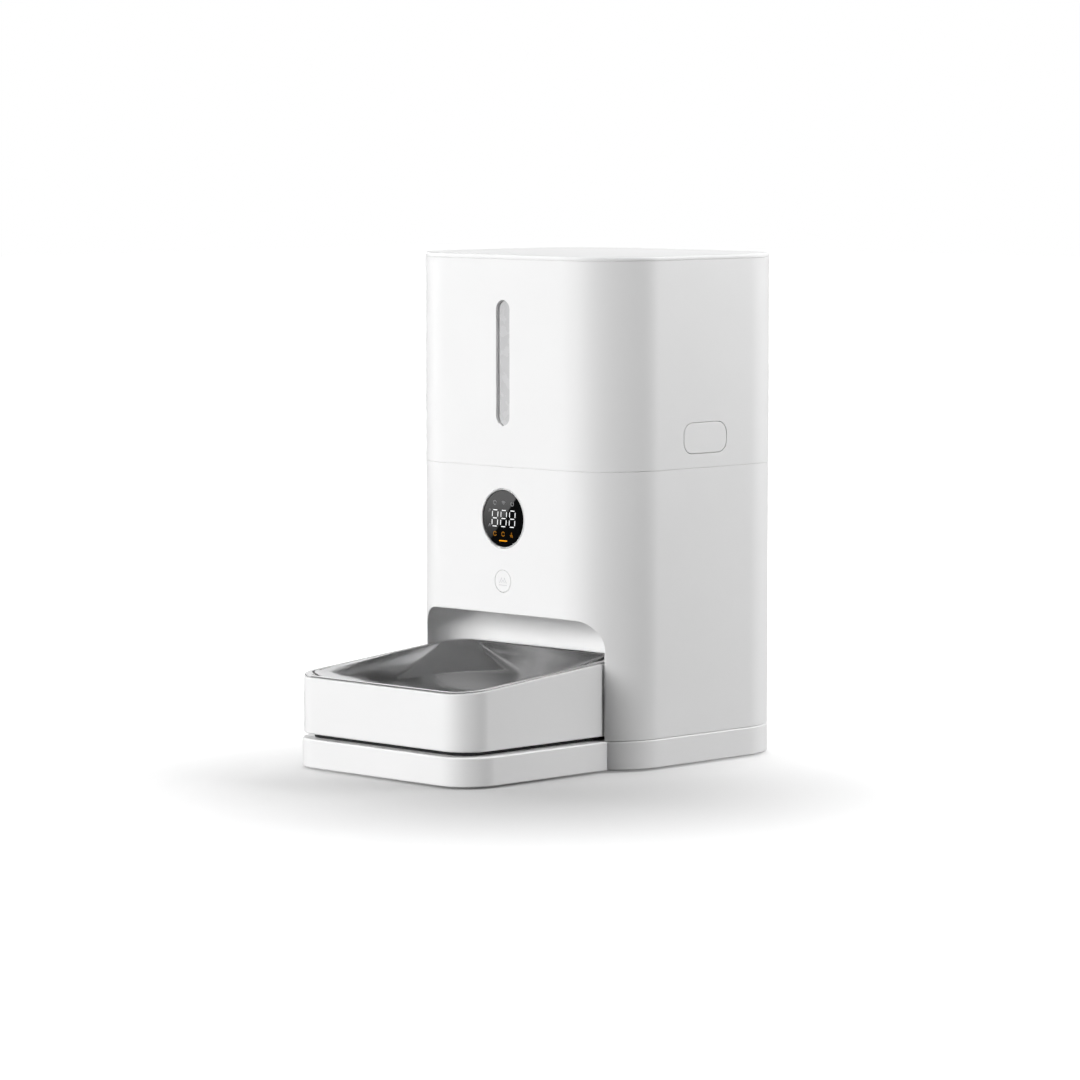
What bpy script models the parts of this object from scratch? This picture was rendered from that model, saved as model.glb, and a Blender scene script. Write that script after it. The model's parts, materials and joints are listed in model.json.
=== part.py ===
"""Automatic pet feeder: base with bowl tray, lower housing, lift-off hopper, lid and dispensing drive.

Frame: +Z up, front of the feeder towards -Y, origin on the floor at the centre of the footprint.
"""

import math

import bmesh
import bpy
from mathutils import Matrix, Vector

MM = 0.001

# Overall envelope
TOWER_WIDTH = 196 * MM
TOWER_DEPTH = 176 * MM
TOWER_RADIUS = 44 * MM
TRAY_REACH = 114.6 * MM
TRAY_WIDTH = 167.3 * MM
TRAY_RADIUS = 24.7 * MM
OVERALL_DEPTH = TOWER_DEPTH + TRAY_REACH
TOWER_BACK = OVERALL_DEPTH / 2
TOWER_FRONT = TOWER_BACK - TOWER_DEPTH
TRAY_FRONT = -OVERALL_DEPTH / 2
TOWER_MIDDLE = TOWER_BACK - TOWER_DEPTH / 2

# Heights of the seams that go round the outside
BASE_BOTTOM = 1.2 * MM
BASE_TOP = 20.1 * MM
HOUSING_TOP = 193.8 * MM
HOPPER_BOTTOM = 194.1 * MM
HOPPER_TOP = 328.8 * MM
LID_BOTTOM = 329.1 * MM
LID_TOP = 332 * MM

# General fits and walls
GAP = 0.3 * MM
WALL = 2.6 * MM
HOPPER_WALL = 2.4 * MM

# Base
DECK_THICKNESS = 2.4 * MM
PLATE_THICKNESS = 3 * MM
FOOT_RADIUS = 9 * MM
FOOT_TOP = 1.9 * MM
FEET = [(-62 * MM, -122 * MM), (62 * MM, -122 * MM), (-70 * MM, 118 * MM), (70 * MM, 118 * MM)]
SCREWS = [(-48 * MM, -96 * MM), (48 * MM, -96 * MM), (-78 * MM, 60 * MM), (78 * MM, 60 * MM)]
SCREW_RADIUS = 1.5 * MM
SCREW_HEAD_RADIUS = 3.2 * MM
SCREW_HEAD_BOTTOM = 1.5 * MM
SCREW_HEAD_TOP = 2.6 * MM
SCREW_TOP = 12 * MM
BOSS_RADIUS = 4 * MM
PILOT_RADIUS = 1.8 * MM
PILOT_TOP = 14 * MM

# Bowl niche in the lower front of the tower
NICHE_HALF_WIDTH = 82 * MM
NICHE_TOP = 97.8 * MM
NICHE_CORNER = 18 * MM
NICHE_BACK = TOWER_FRONT + 48 * MM
NICHE_PLAN_RADIUS = 24 * MM
NICHE_COVE_RADIUS = 10 * MM
NICHE_WALL = 2.4 * MM
OUTLET_WIDTH = 52 * MM
OUTLET_DEPTH = 26 * MM
OUTLET_Y = TOWER_FRONT + 24.5 * MM

# Bowl: a holder that stands on the tray and a steel bowl hung in it by its rim
BOWL_HALF_WIDTH = 81 * MM
BOWL_FRONT = TOWER_FRONT - 113.8 * MM
BOWL_BACK = TOWER_FRONT + 38.9 * MM
BOWL_RADIUS = 21 * MM
BOWL_BOTTOM = 23.2 * MM
RIM_FRONT_HEIGHT = 60.9 * MM
RIM_SLOPE = 0.086
RIM_THICKNESS = 1.1 * MM
HOLDER_WALL = 2.6 * MM
HOLDER_FLOOR = 2.4 * MM
STEEL_THICKNESS = 0.8 * MM
STEEL_FLOOR = 31 * MM
STEEL_DEPTH = 33 * MM
STEEL_LIP = 4.4 * MM
STEEL_ROUNDING = 84 * MM
STEEL_PROFILE = [(3.6 * MM, 0), (4.6 * MM, 1 * MM), (5.6 * MM, 5 * MM), (7.6 * MM, 11 * MM),
                 (10.6 * MM, 17 * MM), (16 * MM, 24 * MM), (25 * MM, 29.6 * MM), (36 * MM, 32.4 * MM),
                 (48 * MM, STEEL_DEPTH)]
PAD_INSET = 7 * MM

# Display and feed button in the front wall
DISPLAY_HEIGHT = 160 * MM
DISPLAY_HOLE_RADIUS = 19.7 * MM
BEZEL_OUTER_RADIUS = 19.4 * MM
BEZEL_INNER_RADIUS = 18.95 * MM
BEZEL_DEPTH = 3.2 * MM
LENS_RADIUS = 18.7 * MM
LENS_DEPTH = 2 * MM
LIGHT_BOX_RADIUS = 17 * MM
LIGHT_BOX_WALL = 1.5 * MM
BUTTON_HEIGHT = 119 * MM
BUTTON_RADIUS = 7.6 * MM
BUTTON_HOLE_RADIUS = 7.9 * MM
BUTTON_TRAVEL = 1.2 * MM
BUTTON_FLANGE_BACK = TOWER_FRONT + 4.2 * MM
BUTTON_STEM_RADIUS = 2.5 * MM
BUTTON_STEM_BACK = TOWER_FRONT + 5.2 * MM
BOARD_FRONT = TOWER_FRONT + 10 * MM
BOARD_THICKNESS = 1.6 * MM

# Power socket and main board at the rear
INLET_CENTRE = (60 * MM, 38 * MM)
INLET_RADIUS = 5.7 * MM
INLET_HOLE_RADIUS = 6 * MM
INLET_LENGTH = 14 * MM
INLET_SOCKET_RADIUS = 2.9 * MM
INLET_SOCKET_DEPTH = 10 * MM
INLET_PIN_RADIUS = 1 * MM
MAIN_BOARD_LOW = (-50 * MM, TOWER_BACK - 17 * MM, 45 * MM)
MAIN_BOARD_HIGH = (40 * MM, TOWER_BACK - 17 * MM + BOARD_THICKNESS, 118 * MM)
CHIP_REACH = 3 * MM
CHIPS = [(-40, 60, 24, 18), (-8, 78, 18, 18), (18, 55, 14, 30), (-42, 94, 30, 12)]

# Hopper: level window and release buttons
WINDOW_WIDTH = 12 * MM
WINDOW_BOTTOM = 220.6 * MM
WINDOW_TOP = 302.1 * MM
WINDOW_RIM = 4 * MM
WINDOW_RIM_DEPTH = 1.5 * MM
RELEASE_WIDTH = 41 * MM
RELEASE_HEIGHT = 20.4 * MM
RELEASE_RADIUS = 8 * MM
RELEASE_CENTRE = 213.3 * MM
RELEASE_BACK = TOWER_WIDTH / 2 - 8 * MM
RELEASE_FLANGE = 1.6 * MM
LATCH_THICKNESS = 2 * MM
LATCH_HALF_WIDTH = 8 * MM
LATCH_BOTTOM = 181 * MM
BRACKET_BACK = TOWER_WIDTH / 2 - 16 * MM
BRACKET_HALF_WIDTH = 28 * MM
BRACKET_WALL = 2 * MM
SPIGOT_INSET = WALL + 0.4 * MM
SPIGOT_WALL_INSET = 5 * MM
FUNNEL_TOP = 236 * MM
FUNNEL_THROAT = 197 * MM
FUNNEL_LIP = 186.2 * MM
FUNNEL_RADIUS = 52 * MM
FUNNEL_WALL = 2 * MM
FUNNEL_STEPS = 48

# Dispensing drive, on a vertical axis through the middle of the tower
DECK_BOTTOM = 183 * MM
DECK_TOP = 185.4 * MM
CUP_RADIUS = 56.4 * MM
CUP_BOTTOM = 152 * MM
CUP_FLOOR = 154.2 * MM
CUP_WALL = 2 * MM
CUP_FLANGE_RADIUS = 60 * MM
CUP_HUB_RADIUS = 6.3 * MM
CUP_OUTLET_HALF_WIDTH = 20 * MM
CUP_OUTLET_HALF_DEPTH = 14 * MM
SHAFT_RADIUS = 4 * MM
BORE_RADIUS = 4.3 * MM
WHEEL_RADIUS = 53 * MM
WHEEL_HUB_RADIUS = 11 * MM
WHEEL_BOTTOM = 155 * MM
WHEEL_TOP = 182.4 * MM
WHEEL_VANES = 6
VANE_THICKNESS = 2.2 * MM
STIRRER_REACH = 40 * MM
STIRRER_BOTTOM = 187.6 * MM
STIRRER_TOP = 192 * MM
SHAFT_BOTTOM = 140.6 * MM
SHAFT_TOP = 191 * MM
CUP_OUTLET_Y = TOWER_MIDDLE - 38 * MM
CHUTE_TOP_WIDTH = 44 * MM
CHUTE_TOP_DEPTH = 30 * MM
CHUTE_WALL = 1.6 * MM
BAFFLE_BOTTOM = 183.4 * MM
BAFFLE_TOP = 184.8 * MM
GEAR_MODULE = 1 * MM
GEAR_TEETH = 40
PINION_TEETH = 10
GEAR_BOTTOM = 142 * MM
GEAR_TOP = 147 * MM
GEAR_DISTANCE = GEAR_MODULE * (GEAR_TEETH + PINION_TEETH) / 2 + 0.1 * MM
MOTOR_Y = TOWER_MIDDLE + GEAR_DISTANCE
MOTOR_RADIUS = 12 * MM
GEARBOX_RADIUS = 15 * MM
MOTOR_BOTTOM = 92 * MM
GEARBOX_BOTTOM = 120 * MM
GEARBOX_TOP = 137.5 * MM
MOTOR_SHAFT_RADIUS = 1.5 * MM
MOTOR_SHAFT_TOP = 149 * MM
MOTOR_BRACKET_BOTTOM = GEARBOX_TOP + GAP
MOTOR_BRACKET_HALF_WIDTH = 32 * MM
MOTOR_BRACKET_WALL = 2 * MM

# Desiccant case under the lid
CASE_RADIUS = 34 * MM
CASE_BOTTOM = 306 * MM
CASE_WALL = 1.8 * MM
VENTS = 6
VENT_RADIUS = 4 * MM
VENT_CIRCLE = 20 * MM
GRIP_HALF_LENGTH = 22 * MM
GRIP_HALF_WIDTH = 2.5 * MM
GRIP_DROP = 5 * MM
LID_SKIRT = 8 * MM
LID_SKIRT_INSET = 4.4 * MM
LID_SKIRT_WALL = 1.8 * MM

TOWER_STEPS = 8
CORNER_STEPS = 6

# Finishes: colour, roughness, metallic
FINISHES = {
    "white_shell": ((0.90, 0.90, 0.90), 0.35, 0.0),
    "white_inner": ((0.80, 0.80, 0.80), 0.45, 0.0),
    "steel": ((0.62, 0.62, 0.62), 0.28, 1.0),
    "black_glass": ((0.012, 0.012, 0.014), 0.06, 0.0),
    "window_grey": ((0.56, 0.57, 0.58), 0.30, 0.0),
    "rubber": ((0.05, 0.05, 0.05), 0.80, 0.0),
    "silicone": ((0.55, 0.56, 0.57), 0.60, 0.0),
    "gear": ((0.82, 0.80, 0.72), 0.50, 0.0),
    "zinc": ((0.55, 0.55, 0.56), 0.35, 1.0),
    "circuit": ((0.02, 0.16, 0.08), 0.50, 0.0),
    "black_plastic": ((0.02, 0.02, 0.02), 0.50, 0.0),
    "fleece": ((0.75, 0.76, 0.74), 0.90, 0.0),
}


# Outlines

def arc(centre_x, centre_y, radius, start, end, steps=CORNER_STEPS):
    """Points on a circle from one angle to another, in degrees."""
    points = []
    for step in range(steps + 1):
        angle = math.radians(start + (end - start) * step / steps)
        points.append((centre_x + radius * math.cos(angle), centre_y + radius * math.sin(angle)))
    return points


def rounded_rectangle(low_x, high_x, low_y, high_y, radius, steps=CORNER_STEPS):
    """A rectangle with four equal round corners, anticlockwise."""
    return (arc(high_x - radius, low_y + radius, radius, -90, 0, steps)
            + arc(high_x - radius, high_y - radius, radius, 0, 90, steps)
            + arc(low_x + radius, high_y - radius, radius, 90, 180, steps)
            + arc(low_x + radius, low_y + radius, radius, 180, 270, steps))


def circle(radius, count=32, centre=(0, 0)):
    """A circle as an even polygon."""
    points = []
    for step in range(count):
        angle = 2 * math.pi * step / count
        points.append((centre[0] + radius * math.cos(angle), centre[1] + radius * math.sin(angle)))
    return points


def tower_outline(inset=0):
    """Plan of the tower, moved inwards by inset."""
    half = TOWER_WIDTH / 2 - inset
    return rounded_rectangle(-half, half, TOWER_FRONT + inset, TOWER_BACK - inset,
                             TOWER_RADIUS - inset, TOWER_STEPS)


def base_outline(inset=0):
    """Plan of the base: the tower's plan joined to the narrower tray in front of it."""
    half_tray = TRAY_WIDTH / 2 - inset
    tray_radius = TRAY_RADIUS - inset
    radius = TOWER_RADIUS - inset
    centre_x = TOWER_WIDTH / 2 - TOWER_RADIUS
    front_y = TOWER_FRONT + TOWER_RADIUS
    back_y = TOWER_BACK - TOWER_RADIUS
    meet = math.degrees(math.acos((half_tray - centre_x) / radius))
    tray_y = TRAY_FRONT + TRAY_RADIUS
    tray_x = TRAY_WIDTH / 2 - TRAY_RADIUS
    return (arc(tray_x, tray_y, tray_radius, -90, 0)
            + arc(centre_x, front_y, radius, -meet, 0)
            + arc(centre_x, back_y, radius, 0, 90, TOWER_STEPS)
            + arc(-centre_x, back_y, radius, 90, 180, TOWER_STEPS)
            + arc(-centre_x, front_y, radius, 180, 180 + meet)
            + arc(-tray_x, tray_y, tray_radius, 180, 270))


def niche_outline(grow, inset_side, inset_top):
    """Front view of the niche: upright sides, round top corners, open past its lower end."""
    half = NICHE_HALF_WIDTH + grow - inset_side
    top = NICHE_TOP + grow - inset_top
    radius = max(NICHE_CORNER + grow - max(inset_side, inset_top), 6 * MM)
    below = BASE_TOP - 12 * MM
    return ([(half, below)]
            + arc(half - radius, top - radius, radius, 0, 90)
            + arc(-half + radius, top - radius, radius, 90, 180)
            + [(-half, below)])


def bowl_outline(inset=0):
    """Plan of the bowl, moved inwards by inset."""
    half = BOWL_HALF_WIDTH - inset
    radius = max(BOWL_RADIUS - inset, 5 * MM)
    return rounded_rectangle(-half, half, BOWL_FRONT + inset, BOWL_BACK - inset, radius)


def gear_outline(teeth, turn):
    """Spur gear outline with straight-sided teeth and a little backlash, turned by a part of a tooth."""
    pitch_radius = GEAR_MODULE * teeth / 2
    root_radius = pitch_radius - 1.2 * GEAR_MODULE
    tip_radius = pitch_radius + 0.85 * GEAR_MODULE
    points = []
    for tooth in range(teeth):
        middle = 2 * math.pi * (tooth + turn) / teeth
        corners = [(root_radius, -1.05), (tip_radius, -0.32), (tip_radius, 0.32), (root_radius, 1.05)]
        for radius, offset in corners:
            angle = middle + offset * GEAR_MODULE / radius
            points.append((radius * math.cos(angle), radius * math.sin(angle)))
    return points


def vane_outline(hub_radius, reach, thickness, vanes):
    """Hub with straight radial arms."""
    half_angle = math.asin(thickness / 2 / hub_radius)
    points = []
    for vane in range(vanes):
        middle = 2 * math.pi * vane / vanes
        following = 2 * math.pi * (vane + 1) / vanes
        cosine = math.cos(middle)
        sine = math.sin(middle)
        near = hub_radius * math.cos(half_angle)
        for along, across in ((near, -1), (reach, -1), (reach, 1), (near, 1)):
            side = across * thickness / 2
            points.append((along * cosine - side * sine, along * sine + side * cosine))
        for step in (1, 2, 3):
            angle = middle + half_angle + (following - middle - 2 * half_angle) * step / 4
            points.append((hub_radius * math.cos(angle), hub_radius * math.sin(angle)))
    return points


def level(outline, height):
    """An outline laid flat at one height."""
    return [(x, y, height) for x, y in outline]


def facing_front(outline, depth):
    """An outline of (x, z) points stood up at one y."""
    return [(x, depth, z) for x, z in outline]


def facing_side(outline, across):
    """An outline of (y, z) points stood up at one x."""
    return [(across, y, z) for y, z in outline]


def moved(outline, x, y):
    """An outline shifted in its plane."""
    return [(px + x, py + y) for px, py in outline]


# Solids

def finish_of(name, kind):
    """One Principled material for one sub-part."""
    colour, roughness, metallic = FINISHES[kind]
    material = bpy.data.materials.new(name + "_finish")
    material.use_nodes = True
    shader = material.node_tree.nodes["Principled BSDF"]
    shader.inputs["Base Color"].default_value = (*colour, 1)
    shader.inputs["Roughness"].default_value = roughness
    shader.inputs["Metallic"].default_value = metallic
    return material


def skin(name, rings, kind=None, closed=False):
    """A solid made of rings with equal point counts: bridged in order, then capped or closed on itself."""
    shape = bmesh.new()
    loops = [[shape.verts.new(point) for point in ring] for ring in rings]
    pairs = list(zip(loops, loops[1:]))
    if closed:
        pairs.append((loops[-1], loops[0]))
    else:
        shape.faces.new(loops[0])
        shape.faces.new(loops[-1])
    count = len(rings[0])
    for lower, upper in pairs:
        for index in range(count):
            following = (index + 1) % count
            shape.faces.new((lower[index], lower[following], upper[following], upper[index]))
    bmesh.ops.recalc_face_normals(shape, faces=shape.faces)
    mesh = bpy.data.meshes.new(name)
    shape.to_mesh(mesh)
    shape.free()
    mesh.shade_smooth()
    mesh.set_sharp_from_angle(angle=math.radians(30))
    piece = bpy.data.objects.new(name, mesh)
    bpy.context.scene.collection.objects.link(piece)
    if kind:
        mesh.materials.append(finish_of(name, kind))
    return piece


def turned(name, profile, centre, kind=None, closed=False, axis="Z", count=32):
    """A solid of revolution from (radius, position) points along the Z or the Y axis."""
    rings = []
    for radius, position in profile:
        flat = circle(radius, count, centre)
        rings.append(level(flat, position) if axis == "Z" else facing_front(flat, position))
    return skin(name, rings, kind, closed)


def box(name, low, high, kind=None):
    """A box between two corners."""
    outline = [(low[0], low[1]), (high[0], low[1]), (high[0], high[1]), (low[0], high[1])]
    return skin(name, [level(outline, low[2]), level(outline, high[2])], kind)


def combine(target, tool, operation):
    """Adds a Boolean with a guide solid, which stays out of the build."""
    tool.hide_render = True
    tool.display_type = "WIRE"
    change = target.modifiers.new(tool.name, "BOOLEAN")
    change.object = tool
    change.operation = operation
    change.solver = "EXACT"


def cut(target, tool):
    combine(target, tool, "DIFFERENCE")


def add(target, tool):
    combine(target, tool, "UNION")


def spring(name, start, direction, length, radius, wire, turns):
    """A compression spring: a round wire wound along the X or the Y axis."""
    steps = 10
    count = int(turns * steps)
    curve = bpy.data.curves.new(name, "CURVE")
    curve.dimensions = "3D"
    curve.bevel_depth = wire / 2
    curve.bevel_resolution = 0
    curve.use_fill_caps = True
    line = curve.splines.new("POLY")
    line.points.add(count)
    for index in range(count + 1):
        angle = 2 * math.pi * index / steps
        along = length * index / count
        first = radius * math.cos(angle)
        second = radius * math.sin(angle)
        if direction[0]:
            point = (start[0] + direction[0] * along, start[1] + first, start[2] + second)
        else:
            point = (start[0] + first, start[1] + direction[1] * along, start[2] + second)
        line.points[index].co = (*point, 1)
    curve.materials.append(finish_of(name, "zinc"))
    piece = bpy.data.objects.new(name, curve)
    bpy.context.scene.collection.objects.link(piece)
    return piece


def hang_on(name, point, pieces):
    """An empty on a joint's axis, with the pieces that move about it."""
    pivot = bpy.data.objects.new(name, None)
    pivot.location = point
    bpy.context.scene.collection.objects.link(pivot)
    for piece in pieces:
        piece.parent = pivot
        piece.matrix_parent_inverse = Matrix.Translation(pivot.location).inverted()
    return pivot


# Base

def make_base_shell():
    edge = 0.8 * MM
    ceiling = BASE_TOP - DECK_THICKNESS
    rings = [level(base_outline(DECK_THICKNESS), ceiling),
             level(base_outline(DECK_THICKNESS), BASE_BOTTOM),
             level(base_outline(edge / 2), BASE_BOTTOM),
             level(base_outline(), BASE_BOTTOM + edge),
             level(base_outline(), BASE_TOP - edge),
             level(base_outline(edge / 2), BASE_TOP)]
    shell = skin("base_shell", rings, "white_shell")
    boss_bottom = BASE_BOTTOM + PLATE_THICKNESS + GAP
    for number, spot in enumerate(SCREWS):
        add(shell, turned(f"boss_{number}", [(BOSS_RADIUS, boss_bottom), (BOSS_RADIUS, ceiling + 1 * MM)],
                          spot, count=16))
    for number, spot in enumerate(SCREWS):
        cut(shell, turned(f"pilot_{number}", [(PILOT_RADIUS, BASE_BOTTOM), (PILOT_RADIUS, PILOT_TOP)], spot,
                          count=12))


def make_bottom_plate():
    outline = base_outline(DECK_THICKNESS + GAP)
    top = BASE_BOTTOM + PLATE_THICKNESS
    plate = skin("bottom_plate", [level(outline, BASE_BOTTOM), level(outline, top)], "white_inner")
    for number, spot in enumerate(FEET):
        pocket = [(FOOT_RADIUS + GAP, 0), (FOOT_RADIUS + GAP, FOOT_TOP + GAP)]
        cut(plate, turned(f"foot_pocket_{number}", pocket, spot, count=24))
    head = SCREW_HEAD_RADIUS + 0.4 * MM
    shank = SCREW_RADIUS + 0.4 * MM
    seat = SCREW_HEAD_TOP + GAP
    for number, spot in enumerate(SCREWS):
        stepped = [(head, 0), (head, seat), (shank, seat), (shank, top + 2 * MM)]
        cut(plate, turned(f"screw_seat_{number}", stepped, spot, count=16))


def make_feet():
    for number, spot in enumerate(FEET):
        profile = [(FOOT_RADIUS - 0.5 * MM, 0), (FOOT_RADIUS, 0.5 * MM), (FOOT_RADIUS, FOOT_TOP)]
        turned(f"foot_{number + 1}", profile, spot, "rubber", count=24)


def make_base_screws():
    for number, spot in enumerate(SCREWS):
        profile = [(SCREW_HEAD_RADIUS - 0.4 * MM, SCREW_HEAD_BOTTOM),
                   (SCREW_HEAD_RADIUS, SCREW_HEAD_BOTTOM + 0.4 * MM), (SCREW_HEAD_RADIUS, SCREW_HEAD_TOP),
                   (SCREW_RADIUS, SCREW_HEAD_TOP), (SCREW_RADIUS, SCREW_TOP)]
        turned(f"base_screw_{number + 1}", profile, spot, "zinc", count=12)


# Lower housing and what its front wall carries

def niche_solid(name, grow):
    """The niche as a solid that starts in front of the tower; grow makes its jacket."""
    plan_radius = NICHE_PLAN_RADIUS + grow
    cove_radius = NICHE_COVE_RADIUS + grow
    back = NICHE_BACK + grow
    rings = [facing_front(niche_outline(grow, 0, 0), TOWER_FRONT - 10 * MM)]
    steps = 8
    last = math.radians(84)
    for step in range(steps + 1):
        angle = last * step / steps
        depth = back - plan_radius + plan_radius * math.sin(angle) / math.sin(last)
        inset_side = plan_radius * (1 - math.cos(angle))
        into_cove = max(depth - (back - cove_radius), 0)
        inset_top = cove_radius - math.sqrt(max(cove_radius ** 2 - into_cove ** 2, 0))
        rings.append(facing_front(niche_outline(grow, inset_side, inset_top), depth))
    return skin(name, rings)


def make_lower_housing():
    bottom = BASE_TOP + GAP
    housing = skin("lower_housing", [level(tower_outline(), bottom), level(tower_outline(), HOUSING_TOP)],
                   "white_shell")
    inside = tower_outline(WALL)
    cavity = skin("housing_cavity", [level(inside, bottom - 5 * MM), level(inside, HOUSING_TOP + 5 * MM)])
    cut(cavity, niche_solid("niche_jacket", NICHE_WALL))
    cut(housing, cavity)
    cut(housing, niche_solid("niche_room", 0))
    reach = [TOWER_FRONT - 5 * MM, TOWER_FRONT + 6 * MM]
    cut(housing, turned("display_hole", [(DISPLAY_HOLE_RADIUS, y) for y in reach], (0, DISPLAY_HEIGHT),
                        axis="Y", count=36))
    cut(housing, turned("button_hole", [(BUTTON_HOLE_RADIUS, y) for y in reach], (0, BUTTON_HEIGHT),
                        axis="Y"))
    cut(housing, box("outlet_hole",
                     (-OUTLET_WIDTH / 2 - 0.5 * MM, OUTLET_Y - OUTLET_DEPTH / 2 - 0.5 * MM, 90 * MM),
                     (OUTLET_WIDTH / 2 + 0.5 * MM, OUTLET_Y + OUTLET_DEPTH / 2 + 0.5 * MM, 110 * MM)))
    rear = [TOWER_BACK - 6 * MM, TOWER_BACK + 5 * MM]
    cut(housing, turned("inlet_hole", [(INLET_HOLE_RADIUS, y) for y in rear], INLET_CENTRE, axis="Y",
                        count=24))


def make_display():
    proud = TOWER_FRONT - 0.1 * MM
    deep = TOWER_FRONT + BEZEL_DEPTH
    centre = (0, DISPLAY_HEIGHT)
    turned("display_bezel", [(BEZEL_OUTER_RADIUS, proud), (BEZEL_OUTER_RADIUS, deep),
                             (BEZEL_INNER_RADIUS, deep), (BEZEL_INNER_RADIUS, proud)],
           centre, "white_shell", closed=True, axis="Y", count=36)
    turned("display_lens", [(LENS_RADIUS - 0.3 * MM, TOWER_FRONT), (LENS_RADIUS, TOWER_FRONT + 0.3 * MM),
                            (LENS_RADIUS, TOWER_FRONT + LENS_DEPTH)],
           centre, "black_glass", axis="Y", count=36)
    near = TOWER_FRONT + LENS_DEPTH + GAP
    far = BOARD_FRONT - GAP
    inner = LIGHT_BOX_RADIUS - LIGHT_BOX_WALL
    turned("display_light_box",
           [(LIGHT_BOX_RADIUS, near), (LIGHT_BOX_RADIUS, far), (inner, far), (inner, near)],
           centre, "black_plastic", closed=True, axis="Y")
    box("front_board", (-23 * MM, BOARD_FRONT, 112 * MM),
        (23 * MM, BOARD_FRONT + BOARD_THICKNESS, 181 * MM),
        "circuit")


def make_feed_button():
    front = TOWER_FRONT
    flange = BUTTON_RADIUS + 1.5 * MM
    profile = [(BUTTON_RADIUS - 0.4 * MM, front), (BUTTON_RADIUS, front + 0.4 * MM),
               (BUTTON_RADIUS, front + WALL + 0.4 * MM), (flange, front + WALL + 0.4 * MM),
               (flange, BUTTON_FLANGE_BACK), (BUTTON_STEM_RADIUS, BUTTON_FLANGE_BACK),
               (BUTTON_STEM_RADIUS, BUTTON_STEM_BACK)]
    button = turned("feed_button", profile, (0, BUTTON_HEIGHT), "white_shell", axis="Y")
    spring("feed_spring", (0, front + 4.8 * MM, BUTTON_HEIGHT), (0, 1, 0), 4.6 * MM, 5.6 * MM, 0.5 * MM, 3)
    hang_on("feed_button_axis", (0, front, BUTTON_HEIGHT), [button])
    box("feed_switch", (-3 * MM, BUTTON_STEM_BACK + BUTTON_TRAVEL + GAP, BUTTON_HEIGHT - 3 * MM),
        (3 * MM, BOARD_FRONT - GAP, BUTTON_HEIGHT + 3 * MM), "black_plastic")


def make_rear_electrics():
    face = TOWER_BACK - 0.2 * MM
    socket_end = TOWER_BACK - INLET_SOCKET_DEPTH
    profile = [(INLET_RADIUS, TOWER_BACK - INLET_LENGTH), (INLET_RADIUS, face), (INLET_SOCKET_RADIUS, face),
               (INLET_SOCKET_RADIUS, socket_end), (INLET_PIN_RADIUS, socket_end),
               (INLET_PIN_RADIUS, TOWER_BACK - 1.5 * MM)]
    turned("power_inlet", profile, INLET_CENTRE, "black_plastic", axis="Y", count=24)
    board = box("main_board", MAIN_BOARD_LOW, MAIN_BOARD_HIGH, "circuit")
    surface = MAIN_BOARD_LOW[1]
    for number, (x, z, width, height) in enumerate(CHIPS):
        add(board, box(f"chip_{number}", (x * MM, surface - CHIP_REACH, z * MM),
                       ((x + width) * MM, surface + 1 * MM, (z + height) * MM)))


# Dispensing drive

def make_top_deck():
    outline = tower_outline(SPIGOT_INSET)
    deck = skin("top_deck", [level(outline, DECK_BOTTOM), level(outline, DECK_TOP)], "white_inner")
    hole = [(CUP_RADIUS + GAP, DECK_BOTTOM - 5 * MM), (CUP_RADIUS + GAP, DECK_TOP + 5 * MM)]
    cut(deck, turned("cup_hole", hole, (0, TOWER_MIDDLE), count=36))
    half = LATCH_HALF_WIDTH + 1 * MM
    for side, name in ((-1, "left"), (1, "right")):
        near, far = sorted((side * (RELEASE_BACK - 4.5 * MM), side * (RELEASE_BACK + 3 * MM)))
        cut(deck, box(f"latch_slot_{name}", (near, TOWER_MIDDLE - half, DECK_BOTTOM - 5 * MM),
                      (far, TOWER_MIDDLE + half, DECK_TOP + 5 * MM)))


def make_metering_cup():
    inner = CUP_RADIUS - CUP_WALL
    flange = DECK_TOP + GAP
    top = flange + 1.6 * MM
    profile = [(CUP_RADIUS, CUP_BOTTOM), (CUP_RADIUS, flange), (CUP_FLANGE_RADIUS, flange),
               (CUP_FLANGE_RADIUS, top), (inner, top), (inner, CUP_FLOOR), (CUP_HUB_RADIUS, CUP_FLOOR),
               (CUP_HUB_RADIUS, CUP_BOTTOM)]
    cup = turned("metering_cup", profile, (0, TOWER_MIDDLE), "white_inner", closed=True, count=36)
    cut(cup, box("cup_outlet",
                 (-CUP_OUTLET_HALF_WIDTH, CUP_OUTLET_Y - CUP_OUTLET_HALF_DEPTH, CUP_BOTTOM - 5 * MM),
                 (CUP_OUTLET_HALF_WIDTH, CUP_OUTLET_Y + CUP_OUTLET_HALF_DEPTH, CUP_FLOOR + 0.5 * MM)))


def chute_ring(centre_y, width, depth, height):
    outline = rounded_rectangle(-width / 2, width / 2, centre_y - depth / 2, centre_y + depth / 2,
                                min(width, depth) / 5, 3)
    return level(outline, height)


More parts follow.
